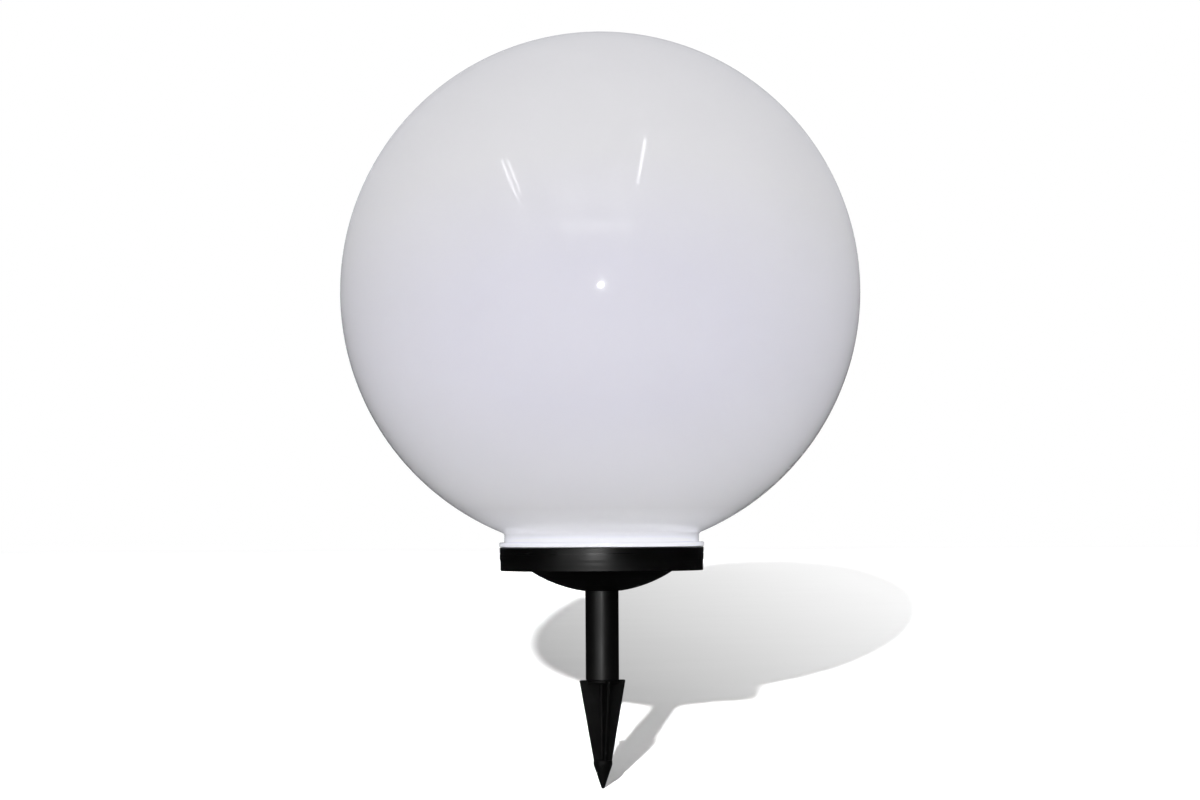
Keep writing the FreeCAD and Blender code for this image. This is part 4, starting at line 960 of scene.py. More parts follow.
class Palette:
    """Every finish of the light, by the record's slot."""

    def __init__(self, effects: Effects) -> None:
        """Make the materials.

        Args:
            effects: the shared effects.
        """
        finishes = {
            "opal_plastic": OpalPlastic(),
            "black_shell": BlackMoulding(Run.ROUND, roughness=0.46, seam=0.2194, smoother_above=0.09),
            "black_pole": BlackMoulding(Run.UPRIGHT, roughness=0.46, gloss=0.52),
            "black_spike": BlackMoulding(
                Run.EVEN, (0.0008, 0.0008, 0.0009), (0.0018, 0.0018, 0.0020), (0.0024, 0.0023, 0.0016),
                roughness=0.60, gloss=0.24, grain=900.0, relief=0.3),
            "black_fitting": BlackMoulding(Run.EVEN, (0.0040, 0.0040, 0.0042), roughness=0.6),
            "button_plastic": BlackMoulding(Run.EVEN, (0.010, 0.010, 0.011), roughness=0.45),
            "rubber_black": SoftRubber(),
            "screw_steel": Metal((0.62, 0.61, 0.59), (0.40, 0.39, 0.37), 0.28, Run.EVEN),
            "contact_steel": Metal((0.66, 0.66, 0.64), (0.50, 0.49, 0.46), 0.22, Run.UPRIGHT),
            "board_green": CircuitBoard(),
            "chip_black": PlainPlastic((0.010, 0.010, 0.010), (0.020, 0.020, 0.020), 0.55),
            "solar_cell_blue": SolarCell(),
            "clear_cover": ClearPlastic((0.80, 0.82, 0.83), (0.88, 0.89, 0.90), 0.26),
            "diode_resin": ClearPlastic((0.88, 0.84, 0.62), (0.90, 0.88, 0.74), 0.82),
            "cell_wrap": PlainPlastic((0.020, 0.150, 0.060), (0.026, 0.180, 0.075), 0.3, Run.UPRIGHT),
            "coil_copper": Metal((0.70, 0.33, 0.16), (0.48, 0.20, 0.09), 0.25, Run.ROUND),
            "capacitor_can": Metal((0.60, 0.61, 0.62), (0.48, 0.49, 0.50), 0.30, Run.ROUND),
            "wire_cover": PlainPlastic((0.012, 0.012, 0.013), (0.024, 0.024, 0.025), 0.42),
        }
        self.materials = {slot: finish.make(slot, effects) for slot, finish in finishes.items()}

    def nodes(self, slot: str, *names: str) -> None:
        """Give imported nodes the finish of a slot.

        Args:
            slot: the slot.
            names: the nodes.
        """
        for name in names:
            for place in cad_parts[name].material_slots:
                place.material = self.materials[slot]
            LOG.info("%s wears %s", name, slot)

    def piece(self, item: bpy.types.Object, slot: str, body: str, *replaced: str) -> None:
        """Dress a modelled piece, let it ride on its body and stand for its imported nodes.

        Args:
            item: the piece.
            slot: slot of its finish.
            body: the body that carries it.
            replaced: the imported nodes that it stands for.
        """
        item.data.materials.clear()
        item.data.materials.append(self.materials[slot])
        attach(item, body)
        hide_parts(*replaced)
        LOG.info("%s stands for %s and wears %s", item.name, ", ".join(replaced), slot)


# Sub-assemblies

def middle(node: str) -> Vector:
    """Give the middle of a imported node's box."""
    low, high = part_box(node)
    return (low + high) / 2


@dataclass
class OpalGlobe:
    """The globe with its neck, lip and three screw lugs, and the gasket under it."""

    wall: float = 2.5 * MM
    neck_radius: float = 93.5 * MM
    neck_wall: float = 3.0 * MM
    neck_rounding: float = 2.0 * MM
    lip_radius: float = 98.3 * MM
    lip_thickness: float = 4.3 * MM
    lip_rounding: float = 1.1 * MM
    small_rounding: float = 0.4 * MM
    lugs: int = 3
    lug_degrees: float = 40.0
    lug_turn: float = 1.5
    lug_height: float = 5.0 * MM
    lug_thickness: float = 3.0 * MM
    lug_reach: float = 3.3 * MM
    lug_root: float = 0.6 * MM
    lug_steps: int = 20
    thread_lead: float = 30.0 * MM
    bead: float = 1.6 * MM
    bead_gap_depth: float = 0.5 * MM
    outer_steps: int = 96
    inner_steps: int = 48

    def build(self) -> None:
        """Model the globe and its gasket."""
        low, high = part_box("globe")
        radius = (high.x - low.x) / 2
        foot = low.z
        centre = Corner(0.0, high.z - radius)
        bore = self.neck_radius - self.neck_wall
        inner = radius - self.wall
        outer_start = math.degrees(math.acos(self.neck_radius / radius))
        inner_start = math.degrees(math.acos(bore / inner))
        meeting = centre.height - math.sqrt(radius ** 2 - self.neck_radius ** 2)
        shell = turned("opal_globe", [
            Corner(bore, foot, self.small_rounding),
            Corner(self.lip_radius, foot, self.lip_rounding),
            Corner(self.lip_radius, foot + self.lip_thickness, self.lip_rounding),
            Corner(self.neck_radius, foot + self.lip_thickness, self.small_rounding),
            Corner(self.neck_radius, meeting, self.neck_rounding),
            Sweep(centre, outer_start + 90.0, self.outer_steps),
            Corner(0.0, centre.height + inner),
            Sweep(centre, -inner_start - 90.0, self.inner_steps),
        ], WIDE_STEPS)
        lug_foot = foot + self.lug_height
        section = [
            Corner(bore - self.lug_reach, lug_foot, self.small_rounding),
            Corner(bore + self.lug_root, lug_foot),
            Corner(bore + self.lug_root, lug_foot + self.lug_thickness),
            Corner(bore - self.lug_reach, lug_foot + self.lug_thickness, self.small_rounding),
        ]
        climb = self.thread_lead * self.lug_degrees / 360.0
        lug = settled(screwed("lug", section, self.lug_degrees, climb, self.lug_steps), turn=self.lug_turn)
        others = [copied(lug, turn=360.0 * index / self.lugs) for index in range(1, self.lugs)]
        self.globe = united(shell, joined([lug, *others], "lugs"))
        self.gasket = self.build_gasket()

    def build_gasket(self) -> bpy.types.Object:
        """Model the gasket: a flat ring with two raised beads on its upper face.

        Returns:
            The gasket.
        """
        low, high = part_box("globe_seal")
        inner = self.neck_radius - self.neck_wall
        outer = (high.x - low.x) / 2
        groove = high.z - self.bead_gap_depth
        return turned("globe_gasket", [
            Corner(inner, low.z, self.small_rounding),
            Corner(outer, low.z, self.small_rounding),
            Corner(outer, high.z, self.small_rounding),
            Corner(outer - self.bead, high.z, self.small_rounding),
            Corner(outer - self.bead - self.bead_gap_depth, groove, self.small_rounding / 2),
            Corner(inner + self.bead + self.bead_gap_depth, groove, self.small_rounding / 2),
            Corner(inner + self.bead, high.z, self.small_rounding),
            Corner(inner, high.z, self.small_rounding),
        ], WIDE_STEPS)

    def dress(self, palette: Palette) -> None:
        """Finish both pieces."""
        palette.piece(self.globe, "opal_plastic", "ball", "globe")
        palette.piece(self.gasket, "rubber_black", "gasket", "globe_seal")


@dataclass
class Base:
    """The round two-shell base with its seals, screws and the push switch under its rim."""

    button_rounding: float = 0.8 * MM
    button_radius: float = 4.4 * MM
    flange_height: float = 1.2 * MM
    dish_radius: float = 2.9 * MM
    dish_depth: float = 0.5 * MM
    dish_steps: int = 8

    def build(self) -> None:
        """Model the switch's dished button."""
        low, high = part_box("switch_button")
        flange = (high.x - low.x) / 2
        ledge = high.z - self.flange_height
        dish_ball = (self.dish_radius ** 2 + self.dish_depth ** 2) / (2 * self.dish_depth)
        dish_angle = math.degrees(math.asin(self.dish_radius / dish_ball))
        button = turned("dished_button", [
            Corner(0.0, low.z + self.dish_depth),
            Sweep(Corner(0.0, low.z + self.dish_depth - dish_ball), -dish_angle, self.dish_steps),
            Corner(self.button_radius, low.z, self.button_rounding),
            Corner(self.button_radius, ledge),
            Corner(flange, ledge),
            Corner(flange, high.z),
            Corner(0.0, high.z),
        ], SMALL_STEPS)
        spot = middle("switch_button")
        self.button = settled(button, (spot.x, spot.y, 0.0))

    def dress(self, palette: Palette) -> None:
        """Finish the shells, the seals, the screws and the switch.

        Args:
            palette: the finishes.
        """
        palette.nodes("black_shell", "upper_housing", "lower_housing")
        palette.nodes("rubber_black", "housing_seal", "switch_seal")
        palette.nodes("screw_steel", "housing_screws")
        palette.nodes("black_fitting", "switch_body", "switch_nut")
        palette.nodes("contact_steel", "switch_spring")
        palette.piece(self.button, "button_plastic", "button", "switch_button")


@dataclass
class Deck:
    """What stands on the deck under the globe: two solar panels and the lamp under its dome."""

    diodes: int = 6
    diode_steps: int = 40
    dome_steps: int = 12
    diode_circle: float = 7.0 * MM
    diode_radius: float = 2.3 * MM
    flange_radius: float = 2.5 * MM
    flange_height: float = 1.0 * MM
    small_rounding: float = 0.2 * MM

    def build(self) -> None:
        """Model the ring of flanged diodes."""
        low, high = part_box("lamp_diodes")
        shoulder = high.z - self.diode_radius
        diode = turned("diode", [
            Corner(0.0, low.z),
            Corner(self.flange_radius, low.z, self.small_rounding),
            Corner(self.flange_radius, low.z + self.flange_height, self.small_rounding),
            Corner(self.diode_radius, low.z + self.flange_height),
            Corner(self.diode_radius, shoulder),
            Sweep(Corner(0.0, shoulder), 90.0, self.dome_steps),
        ], self.diode_steps)
        settled(diode, (self.diode_circle, 0.0, 0.0))
        ring = [copied(diode, turn=360.0 * index / self.diodes) for index in range(1, self.diodes)]
        self.ring = joined([diode, *ring], "flanged_diodes")

    def dress(self, palette: Palette) -> None:
        """Finish the panels and the lamp.

        Args:
            palette: the finishes.
        """
        palette.nodes("board_green", "solar_board_front", "solar_board_rear", "lamp_board")
        palette.nodes("solar_cell_blue", "solar_cells_front", "solar_cells_rear")
        palette.nodes("clear_cover", "solar_window_front", "solar_window_rear", "lamp_cover")
        palette.nodes("rubber_black", "lamp_seal")
        palette.nodes("screw_steel", "lamp_screws", "lamp_cover_screws")
        palette.piece(self.ring, "diode_resin", "base", "lamp_diodes")


@dataclass
class Controller:
    """The charge controller under the deck: board, chip, wound coil and two capacitors."""

    coil_flange: float = 1.0 * MM
    coil_waist: float = 3.0 * MM
    coil_wire: float = 0.34 * MM
    coil_pitch: float = 0.66 * MM
    coil_steps: int = 32
    coil_rounding: float = 0.99
    small_rounding: float = 0.3 * MM
    can_radius: float = 3.2 * MM
    crimp_height: float = 1.4 * MM
    crimp_depth: float = 0.35 * MM

    def build(self) -> None:
        """Model the wound coil and the two cans."""
        self.coil = self.build_coil()
        self.cans = self.build_cans()

    def build_coil(self) -> bpy.types.Object:
        """Model the bobbin and one unbroken winding on it.

        Returns:
            The coil.
        """
        low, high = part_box("control_coil")
        flange = (high.x - low.x) / 2
        waist_foot, waist_top = low.z + self.coil_flange, high.z - self.coil_flange
        bobbin = turned("bobbin", [
            Corner(0.0, low.z),
            Corner(flange, low.z, self.small_rounding),
            Corner(flange, waist_foot, self.small_rounding),
            Corner(self.coil_waist, waist_foot),
            Corner(self.coil_waist, waist_top),
            Corner(flange, waist_top, self.small_rounding),
            Corner(flange, high.z, self.small_rounding),
            Corner(0.0, high.z),
        ], SMALL_STEPS)
        rounding = self.coil_rounding * self.coil_wire
        near, far = self.coil_waist - self.coil_wire / 2, self.coil_waist + 1.5 * self.coil_wire
        foot = waist_foot + self.coil_wire / 2
        rounds = int((waist_top - foot - 2 * self.coil_wire) / self.coil_pitch)
        winding = screwed("winding", [
            Corner(near, foot, rounding),
            Corner(far, foot, rounding),
            Corner(far, foot + 2 * self.coil_wire, rounding),
            Corner(near, foot + 2 * self.coil_wire, rounding),
        ], 360.0, self.coil_pitch, self.coil_steps, rounds)
        coil = joined([bobbin, winding], "wound_coil")
        spot = middle("control_coil")
        return settled(coil, (spot.x, spot.y, 0.0))

    def build_cans(self) -> bpy.types.Object:
        """Model one can with its crimp at the board, and copy it.

        Returns:
            Both cans.
        """
        low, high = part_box("control_capacitors")
        crimp = high.z - self.crimp_height
        can = turned("can", [
            Corner(0.0, low.z),
            Corner(self.can_radius, low.z, self.small_rounding),
            Corner(self.can_radius, crimp - self.crimp_depth, self.small_rounding),
            Corner(self.can_radius - self.crimp_depth, crimp, self.small_rounding),
            Corner(self.can_radius, crimp + self.crimp_depth, self.small_rounding),
            Corner(self.can_radius, high.z, self.small_rounding),
            Corner(0.0, high.z),
        ], SMALL_STEPS)
        spot = middle("control_capacitors")
        pitch = high.x - low.x - 2 * self.can_radius
        other = copied(can, (spot.x + pitch / 2, spot.y, 0.0))
        settled(can, (spot.x - pitch / 2, spot.y, 0.0))
        return joined([can, other], "crimped_cans")

    def dress(self, palette: Palette) -> None:
        """Finish the board and what is soldered on it.

        Args:
            palette: the finishes.
        """
        palette.nodes("board_green", "control_board")
        palette.nodes("screw_steel", "control_screws")
        palette.nodes("chip_black", "control_chip")
        palette.nodes("wire_cover", "lamp_wires", "panel_wires", "battery_wires", "switch_wires")
        palette.piece(self.coil, "coil_copper", "base", "control_coil")
        palette.piece(self.cans, "capacitor_can", "base", "control_capacitors")


class Facing(Enum):
    """The side that a cell's positive nub faces."""

    LEFT = -1
    RIGHT = 1


@dataclass
class Battery:
    """The battery compartment under the deck: box, cover, contacts and two cells."""

    can_rounding: float = 0.7 * MM
    nub_radius: float = 2.7 * MM
    nub_height: float = 1.3 * MM
    crimp_radius: float = 4.6 * MM
    crimp_depth: float = 0.4 * MM

    def build(self) -> None:
        """Model the two cells."""
        self.cells = {
            "battery_cell_near": self.build_cell("cell_near", "battery_cell_near", Facing.RIGHT),
            "battery_cell_far": self.build_cell("cell_far", "battery_cell_far", Facing.LEFT),
        }

    def build_cell(self, name: str, node: str, facing: Facing) -> bpy.types.Object:
        """Model one cell: can, sunk crimp round its positive end, and nub.

        Args:
            name: name of the piece.
            node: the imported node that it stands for.
            facing: the side that its nub faces.

        Returns:
            The cell.
        """
        low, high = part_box(node)
        radius = (high.z - low.z) / 2
        length = high.x - low.x
        foot, top = -length / 2, length / 2 - self.nub_height
        cell = turned(name, [
            Corner(0.0, foot),
            Corner(radius, foot, self.can_rounding),
            Corner(radius, top, self.can_rounding),
            Corner(self.crimp_radius, top, self.crimp_depth),
            Corner(self.crimp_radius - self.crimp_depth, top - self.crimp_depth),
            Corner(self.nub_radius, top - self.crimp_depth),
            Corner(self.nub_radius, length / 2, self.crimp_depth),
            Corner(0.0, length / 2),
        ], SMALL_STEPS)
        return settled(cell, middle(node), tilt=90.0 * facing.value)

    def dress(self, palette: Palette) -> None:
        """Finish the box, its cover, its contacts and its cells.

        Args:
            palette: the finishes.
        """
        palette.nodes("black_fitting", "battery_box", "battery_cover")
        palette.nodes("screw_steel", "battery_screws")
        palette.nodes("contact_steel", "battery_contacts")
        for node, cell in self.cells.items():
            palette.piece(cell, "cell_wrap", "base", node)


@dataclass
class Stand:
    """The pole, and the spike with its nose, collar, four fins and plug."""

    nose_radius: float = 1.8 * MM
    nose_height: float = 23.0 * MM
    nose_steps: int = 8
    collar_radius: float = 9.1 * MM
    collar_height: float = 4.0 * MM
    core_foot: float = 3.2 * MM
    core_top: float = 4.2 * MM
    fin_height: float = 77.0 * MM
    fin_foot: float = 9.0 * MM
    fin_top: float = 23.0 * MM
    fin_thickness: float = 3.0 * MM
    fin_corner: float = 1.6 * MM
    fin_edge: float = 0.7 * MM
    fin_corner_steps: int = 5
    fin_edge_steps: int = 3
    fin_turn: float = 17.0
    shoulder_height: float = 3.0 * MM
    shoulder_radius: float = 15.2 * MM
    plug_radius: float = 13.5 * MM
    plug_wall: float = 2.6 * MM
    plug_chamfer: float = 1.5 * MM
    edge: float = 0.5 * MM

    def build(self) -> None:
        """Model the spike: its turned stem, then two crossing blades united with it."""
        low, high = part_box("ground_spike")
        fin_foot = low.z + self.nose_height + self.collar_height
        fin_top = fin_foot + self.fin_height
        bore = self.plug_radius - self.plug_wall
        stem = turned("spike_moulding", [
            Corner(0.0, low.z),
            Sweep(Corner(0.0, low.z + self.nose_radius), 90.0, self.nose_steps),
            Corner(self.collar_radius, low.z + self.nose_height, self.edge),
            Corner(self.collar_radius, fin_foot, self.edge),
            Corner(self.core_foot, fin_foot, self.edge),
            Corner(self.core_top, fin_top - self.shoulder_height, self.edge),
            Corner(self.shoulder_radius, fin_top - self.shoulder_height, self.edge),
            Corner(self.shoulder_radius, fin_top, self.edge),
            Corner(self.plug_radius, fin_top),
            Corner(self.plug_radius, high.z - self.plug_chamfer),
            Corner(self.plug_radius - self.plug_chamfer, high.z),
            Corner(bore, high.z),
            Corner(bore, fin_top + self.plug_wall),
            Corner(0.0, fin_top + self.plug_wall),
        ])
        blade = self.build_blade(fin_foot, fin_top)
        crossing = copied(blade, turn=90.0)
        self.spike = settled(united(stem, blade, crossing), turn=self.fin_turn)

    def build_blade(self, foot: float, top: float) -> bpy.types.Object:
        """Model one blade: a slab narrowed to its foot, with rounded corners and broken edges.

        Args:
            foot: height of its foot.
            top: height of its top.

        Returns:
            The blade.
        """
        deselect()
        bpy.ops.mesh.primitive_cube_add(size=1.0, location=(0.0, 0.0, 0.0))
        blade = bpy.context.active_object
        blade.name = "blade"
        blade.scale = (2 * self.fin_top, self.fin_thickness, top - foot)
        blade.location = (0.0, 0.0, (foot + top) / 2)
        bpy.ops.object.transform_apply(location=True, rotation=True, scale=True)
        bpy.ops.object.mode_set(mode="EDIT")
        pick(lambda spot: spot.z < foot + NEAR)
        bpy.ops.transform.resize(value=(self.fin_foot / self.fin_top, 1.0, 1.0),
                                 center_override=(0.0, 0.0, foot))
        pick_edges(lambda start, end: min(start.z, end.z) > top - NEAR and abs(start.x - end.x) < NEAR)
        bpy.ops.mesh.bevel(offset=self.fin_corner, segments=self.fin_corner_steps, affect="EDGES")
        pick_edges(lambda start, end: abs(start.y - end.y) < NEAR and max(start.z, end.z) > foot + NEAR)
        bpy.ops.mesh.bevel(offset=self.fin_edge, segments=self.fin_edge_steps, affect="EDGES")
        return closed(blade)

    def dress(self, palette: Palette) -> None:
        """Finish the pole and the spike."""
        palette.nodes("black_pole", "pole_tube")
        palette.piece(self.spike, "black_spike", "ground", "ground_spike")


# Studio

def direction(azimuth: float, elevation: float) -> Vector:
    """Give a direction: azimuth counts from the viewer's side to the right, elevation upwards."""
    side, lift = math.radians(azimuth), math.radians(elevation)
    return Vector((math.sin(side) * math.cos(lift), -math.cos(side) * math.cos(lift), math.sin(lift)))


def hung(name: str, place: Vector, along: Vector, away: Vector, size: Span,
         brightness: float) -> bpy.types.Object:
    """Hang a lit panel; at brightness 1 it takes PANEL_POWER per square metre and shows as white.

    Args:
        name: name of the panel.
        place: middle of the panel.
        along: the way its height runs.
        away: the way that its back looks.
        size: width and height.
        brightness: how bright its face is.

    Returns:
        The panel.
    """
    lamp = bpy.data.lights.new(name, "AREA")
    lamp.shape = "RECTANGLE"
    lamp.size, lamp.size_y = size
    lamp.energy = PANEL_POWER * brightness * size[0] * size[1]
    panel = bpy.data.objects.new(name, lamp)
    across = along.cross(away).normalized()
    turn = Matrix((across, away.cross(across).normalized(), away)).transposed()
    panel.matrix_world = Matrix.Translation(place) @ turn.to_4x4()
    panel.visible_camera = False
    bpy.context.scene.collection.objects.link(panel)
    return panel


@dataclass(frozen=True)
class Softbox:
    """A lit panel that faces the light from one side."""

    name: str
    azimuth: float
    elevation: float
    width: float
    height: float
    brightness: float
    distance: float = 3.0

    def stand(self, target: Vector) -> bpy.types.Object:
        """Place the panel.

        Args:
            target: what it faces.

        Returns:
            The panel.
        """
        away = direction(self.azimuth, self.elevation)
        return hung(self.name, target + away * self.distance, UPWARDS, away, (self.width, self.height),
                    self.brightness)


@dataclass(frozen=True)
class Tube:
    """A long thin lamp between two directions, each azimuth and elevation."""

    name: str
    start: Span
    end: Span
    width: float
    brightness: float
    distance: float = 3.0

    def stand(self, target: Vector) -> bpy.types.Object:
        """Place the tube.

        Args:
            target: what it faces.

        Returns:
            The tube.
        """
        start, end = (target + direction(*way) * self.distance for way in (self.start, self.end))
        away = ((start + end) / 2 - target).normalized()
        return hung(self.name, (start + end) / 2, end - start, away, (self.width, (end - start).length),
                    self.brightness)


LAMPS = (
    Softbox("flash", 0.4, -1.1, 0.085, 0.085, 212.0),
    Softbox("flash_halo", 0.4, -1.1, 0.34, 0.34, 2.2, 3.1),
    Softbox("key", -1.7, 22.8, 1.6, 0.30, 1.8),
    Softbox("key_above", -3.0, 36.0, 1.4, 0.65, 0.6),
    Tube("tube_left", (-58.3, 48.3), (-39.5, 34.1), 0.035, 10.0),
    Tube("tube_left_pair", (-54.1, 48.6), (-37.4, 35.3), 0.035, 10.0),
    Tube("tube_right", (34.4, 61.3), (19.2, 41.3), 0.05, 10.0),
    Tube("rim_right", (143.8, 21.0), (143.0, 10.2), 0.10, 0.3),
)
BLACK_LAMPS = (
    Softbox("black_light", -9.5, -0.7, 0.35, 0.3, 34.0),
    Softbox("black_light_side", -29.0, -0.7, 1.9, 0.3, 3.5),
)


@dataclass
class Studio:
    """Pale floor, white surroundings, soft lamps and the photograph's camera."""

    horizon: float = 0.55
    zenith: float = 1.24
    floor_reach: float = 60.0
    floor_tone: float = 0.45
    floor_drift: float = 0.015
    floor_patches: float = 3.0
    near_bounce: float = 0.41
    far_bounce: float = 0.12
    bounce_near: float = 1.0
    bounce_far: float = 5.0
    haze: float = 0.35
    haze_near: float = 1.735
    haze_slant: float = 3.4
    haze_most: float = 0.5
    fade_from: float = 14.0
    fade_to: float = 30.0
    floor_lamp_place: Triple = (-0.325, -5.33, 0.908)
    floor_lamp_radius: float = 0.03
    floor_lamp_power: float = 130.0
    card_tone: float = 0.012
    card_radius: float = 9.0
    card_height: float = 12.0
    card_steps: int = 48
    camera_place: Triple = (0.0031, -3.0879, 0.2518)
    camera_yaw: float = -0.0719
    camera_pitch: float = 2.2416
    camera_roll: float = -0.3316
    camera_lens: float = 96.3
    camera_sensor: float = 36.0
    camera_reach: float = 200.0

    def build(self, opal: bpy.types.Object) -> None:
        """Set everything up round the light.

        Args:
            opal: the globe, which the black parts' lamps leave out.
        """
        self.target = (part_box("globe")[0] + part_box("globe")[1]) / 2
        self.surround()
        floor = self.lay_floor()
        self.shine_on(floor)
        self.place_card()
        for lamp in LAMPS:
            lamp.stand(self.target)
        self.place_black_lamps(floor, opal)
        self.place_camera()

    @staticmethod
    def seen(board: Board) -> Socket:
        """Give 1 for rays that show the background: from the camera, in gloss and through glass.

        Args:
            board: the nodes that ask.

        Returns:
            The mask.
        """
        rays = board.add("LightPath").outputs
        mirrored = board.sum("MAXIMUM", rays["Is Glossy Ray"], rays["Is Transmission Ray"])
        return board.sum("MAXIMUM", rays["Is Camera Ray"], mirrored)

    def surround(self) -> None:
        """Make the world: white where it is seen, and a soft light for the surfaces, stronger from above."""
        world = bpy.data.worlds.new("studio")
        world.use_nodes = True
        board = Board(world.node_tree)
        height = board.parts(board.add("TexCoord").outputs["Generated"])["Z"]
        sky = board.fitted(height, 0.0, 1.0, self.horizon, self.zenith)
        soft = board.add("Background", {"Color": WHITE, "Strength": sky})
        white = board.add("Background", {"Color": WHITE, "Strength": 1.0})
        mixed = board.add("MixShader", {0: self.seen(board), 1: soft.outputs[0], 2: white.outputs[0]})
        board.add("OutputWorld", {"Surface": mixed.outputs[0]})
        bpy.context.scene.world = world

    def lay_floor(self) -> bpy.types.Object:
        """Lay the floor: it keeps the shadow, turns white far off and hides nothing from below.

        Seen directly it has one tone; the light that it throws back onto the surfaces fades with distance.

        Returns:
            The floor.
        """
        deselect()
        bpy.ops.mesh.primitive_plane_add(size=2 * self.floor_reach, location=(0.0, 0.0, 0.0))
        floor = bpy.context.active_object
        floor.name = "floor"
        made = bpy.data.materials.new("pale_floor")
        made.use_nodes = True
        board = Board(made.node_tree)
        place = board.place()
        seen = self.seen(board)
        patches = board.noise(place, self.floor_patches, 3.0)
        drift = board.fitted(patches, *Effects.drift_span, 1.0 - self.floor_drift, 1.0 + self.floor_drift)
        distance = board.length(place)
        bounce = board.fitted(distance, self.bounce_near, self.bounce_far, self.near_bounce, self.far_bounce)
        tone = board.sum("MULTIPLY", board.fitted(seen, 0.0, 1.0, bounce, self.floor_tone), drift)
        colour = board.add("CombineColor", {0: tone, 1: tone, 2: tone}).outputs[0]
        matt = board.add("BsdfDiffuse", {"Color": colour})
        lift = board.add("Emission", {"Strength": board.sum("MULTIPLY", seen, self.hazed(board, place))})
        lit = board.add("AddShader", {0: matt.outputs[0], 1: lift.outputs[0]})
        far = board.sum("MULTIPLY", board.fitted(distance, self.fade_from, self.fade_to), seen)
        white = board.add("Emission", {"Strength": 1.0})
        faded = board.add("MixShader", {0: far, 1: lit.outputs[0], 2: white.outputs[0]})
        below = board.add("NewGeometry").outputs["Backfacing"]
        open_below = board.add("BsdfTransparent")
        whole = board.add("MixShader", {0: below, 1: faded.outputs[0], 2: open_below.outputs[0]})
        board.add("OutputMaterial", {"Surface": whole.outputs[0]})
        floor.data.materials.append(made)
        return floor

    def hazed(self, board: Board, place: Socket) -> Socket:
        """Give the glow that lifts the shadow far off and to the right.

        Args:
            board: the floor's nodes.
            place: the place on the floor.

        Returns:
            The glow.
        """
        ends = board.parts(place)
        depth = board.sum("MAXIMUM", board.sum("SUBTRACT", ends["Y"], self.camera_place[1]), 1.0)
        dark = board.sum("SUBTRACT", self.haze_near, board.sum("MULTIPLY", ends["X"], self.haze_slant))
        glow = board.sum("SUBTRACT", self.haze, board.sum("DIVIDE", dark, depth))
        return board.fitted(glow, 0.0, self.haze_most, 0.0, self.haze_most)

    def shine_on(self, floor: bpy.types.Object) -> None:
        """Let a small low lamp behind the viewer throw the light's shadow back over the floor alone.

        Its strength grows with the way its light has gone, so the far floor stays bright enough.

        Args:
            floor: the only thing that it lights.
        """
        lamp = bpy.data.lights.new("floor_lamp", "POINT")
        lamp.energy = self.floor_lamp_power
        lamp.shadow_soft_size = self.floor_lamp_radius
        lamp.use_nodes = True
        board = Board(lamp.node_tree)
        constant = board.add("LightFalloff", {"Strength": 1.0}).outputs["Constant"]
        growing = board.sum("MULTIPLY", constant, board.add("LightPath").outputs["Ray Length"])
        board.add("OutputLight", {"Surface": board.add("Emission", {"Strength": growing}).outputs[0]})
        holder = bpy.data.objects.new("floor_lamp", lamp)
        holder.location = self.floor_lamp_place
        holder.visible_camera = False
        bpy.context.scene.collection.objects.link(holder)
        lit = bpy.data.collections.new("lit_floor")
        lit.objects.link(floor)
        holder.light_linking.receiver_collection = lit

    def place_black_lamps(self, *kept_dark: bpy.types.Object) -> None:
        """Hang the low lamps on the left that draw the highlights on the black parts alone.

        Args:
            kept_dark: what they do not light.
        """
        unlit = bpy.data.collections.new("not_lit_by_black_light")
        for item in kept_dark:
            unlit.objects.link(item)
        for entry in unlit.collection_objects:
            entry.light_linking.link_state = "EXCLUDE"
        for lamp in BLACK_LAMPS:
            lamp.stand(self.target).light_linking.receiver_collection = unlit

    def place_card(self) -> None:
        """Close the light in a dark box that only its gloss sees, so its sides show no white."""
        made = bpy.data.materials.new("dark_card")
        made.use_nodes = True
        board = Board(made.node_tree)
        glow = board.add("Emission", {"Color": WHITE, "Strength": self.card_tone})
        board.add("OutputMaterial", {"Surface": glow.outputs[0]})
        deselect()
        bpy.ops.mesh.primitive_cylinder_add(
            vertices=self.card_steps, radius=self.card_radius, depth=self.card_height, end_fill_type="NGON",
            location=(0.0, 0.0, self.card_height / 2 + MM))
        card = bpy.context.active_object
        card.name = "dark_card"
        card.data.materials.append(made)
        card.visible_camera = False
        card.visible_diffuse = False
        card.visible_transmission = False
        card.visible_shadow = False

    def place_camera(self) -> None:
        """Stand the camera where the photograph was taken."""
        turns = (self.camera_yaw, self.camera_pitch, self.camera_roll)
        yaw, pitch, roll = (math.radians(turn) for turn in turns)
        ahead = Vector((math.sin(yaw) * math.cos(pitch), math.cos(yaw) * math.cos(pitch), math.sin(pitch)))
        level = ahead.cross(UPWARDS).normalized()
        upright = level.cross(ahead)
        right = level * math.cos(roll) + upright * math.sin(roll)
        up = right.cross(ahead)
        lens = bpy.data.cameras.new("camera")
        lens.lens = self.camera_lens
        lens.sensor_width = self.camera_sensor
        lens.sensor_fit = "HORIZONTAL"
        lens.clip_end = self.camera_reach
        holder = bpy.data.objects.new("camera", lens)
        turn = Matrix((right, up, -ahead)).transposed().to_4x4()
        holder.matrix_world = Matrix.Translation(self.camera_place) @ turn
        bpy.context.scene.collection.objects.link(holder)
        bpy.context.scene.camera = holder


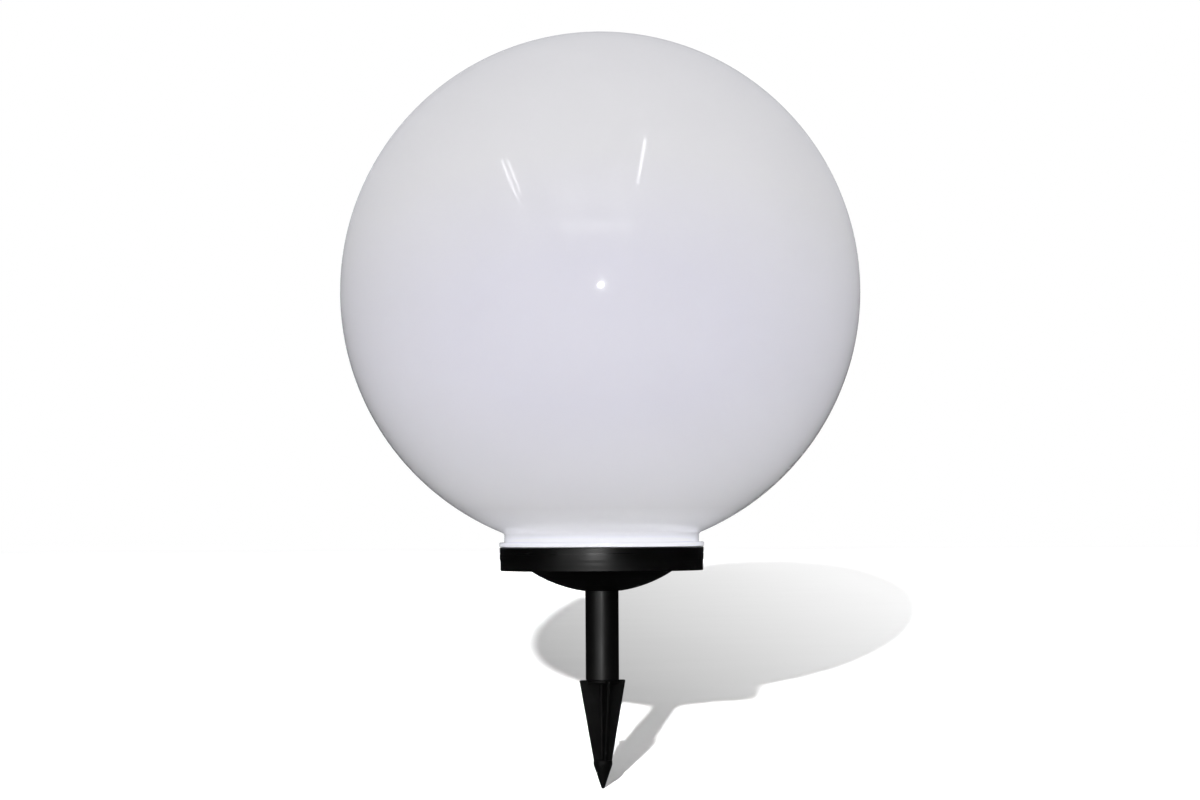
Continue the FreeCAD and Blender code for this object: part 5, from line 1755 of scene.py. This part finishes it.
def main() -> None:
    """Build and dress the light, part by part, then set up the studio."""
    logging.basicConfig(level=logging.INFO, format="%(name)s: %(message)s")
    palette = Palette(Effects())
    opal = OpalGlobe()
    for assembly in (Stand(), Base(), Deck(), Controller(), Battery(), opal):
        assembly.build()
        assembly.dress(palette)
        LOG.info("%s is built and dressed", type(assembly).__name__)
    Studio().build(opal.globe)
    bpy.context.scene.view_settings.view_transform = "Standard"


if __name__ == "__main__":
    main()
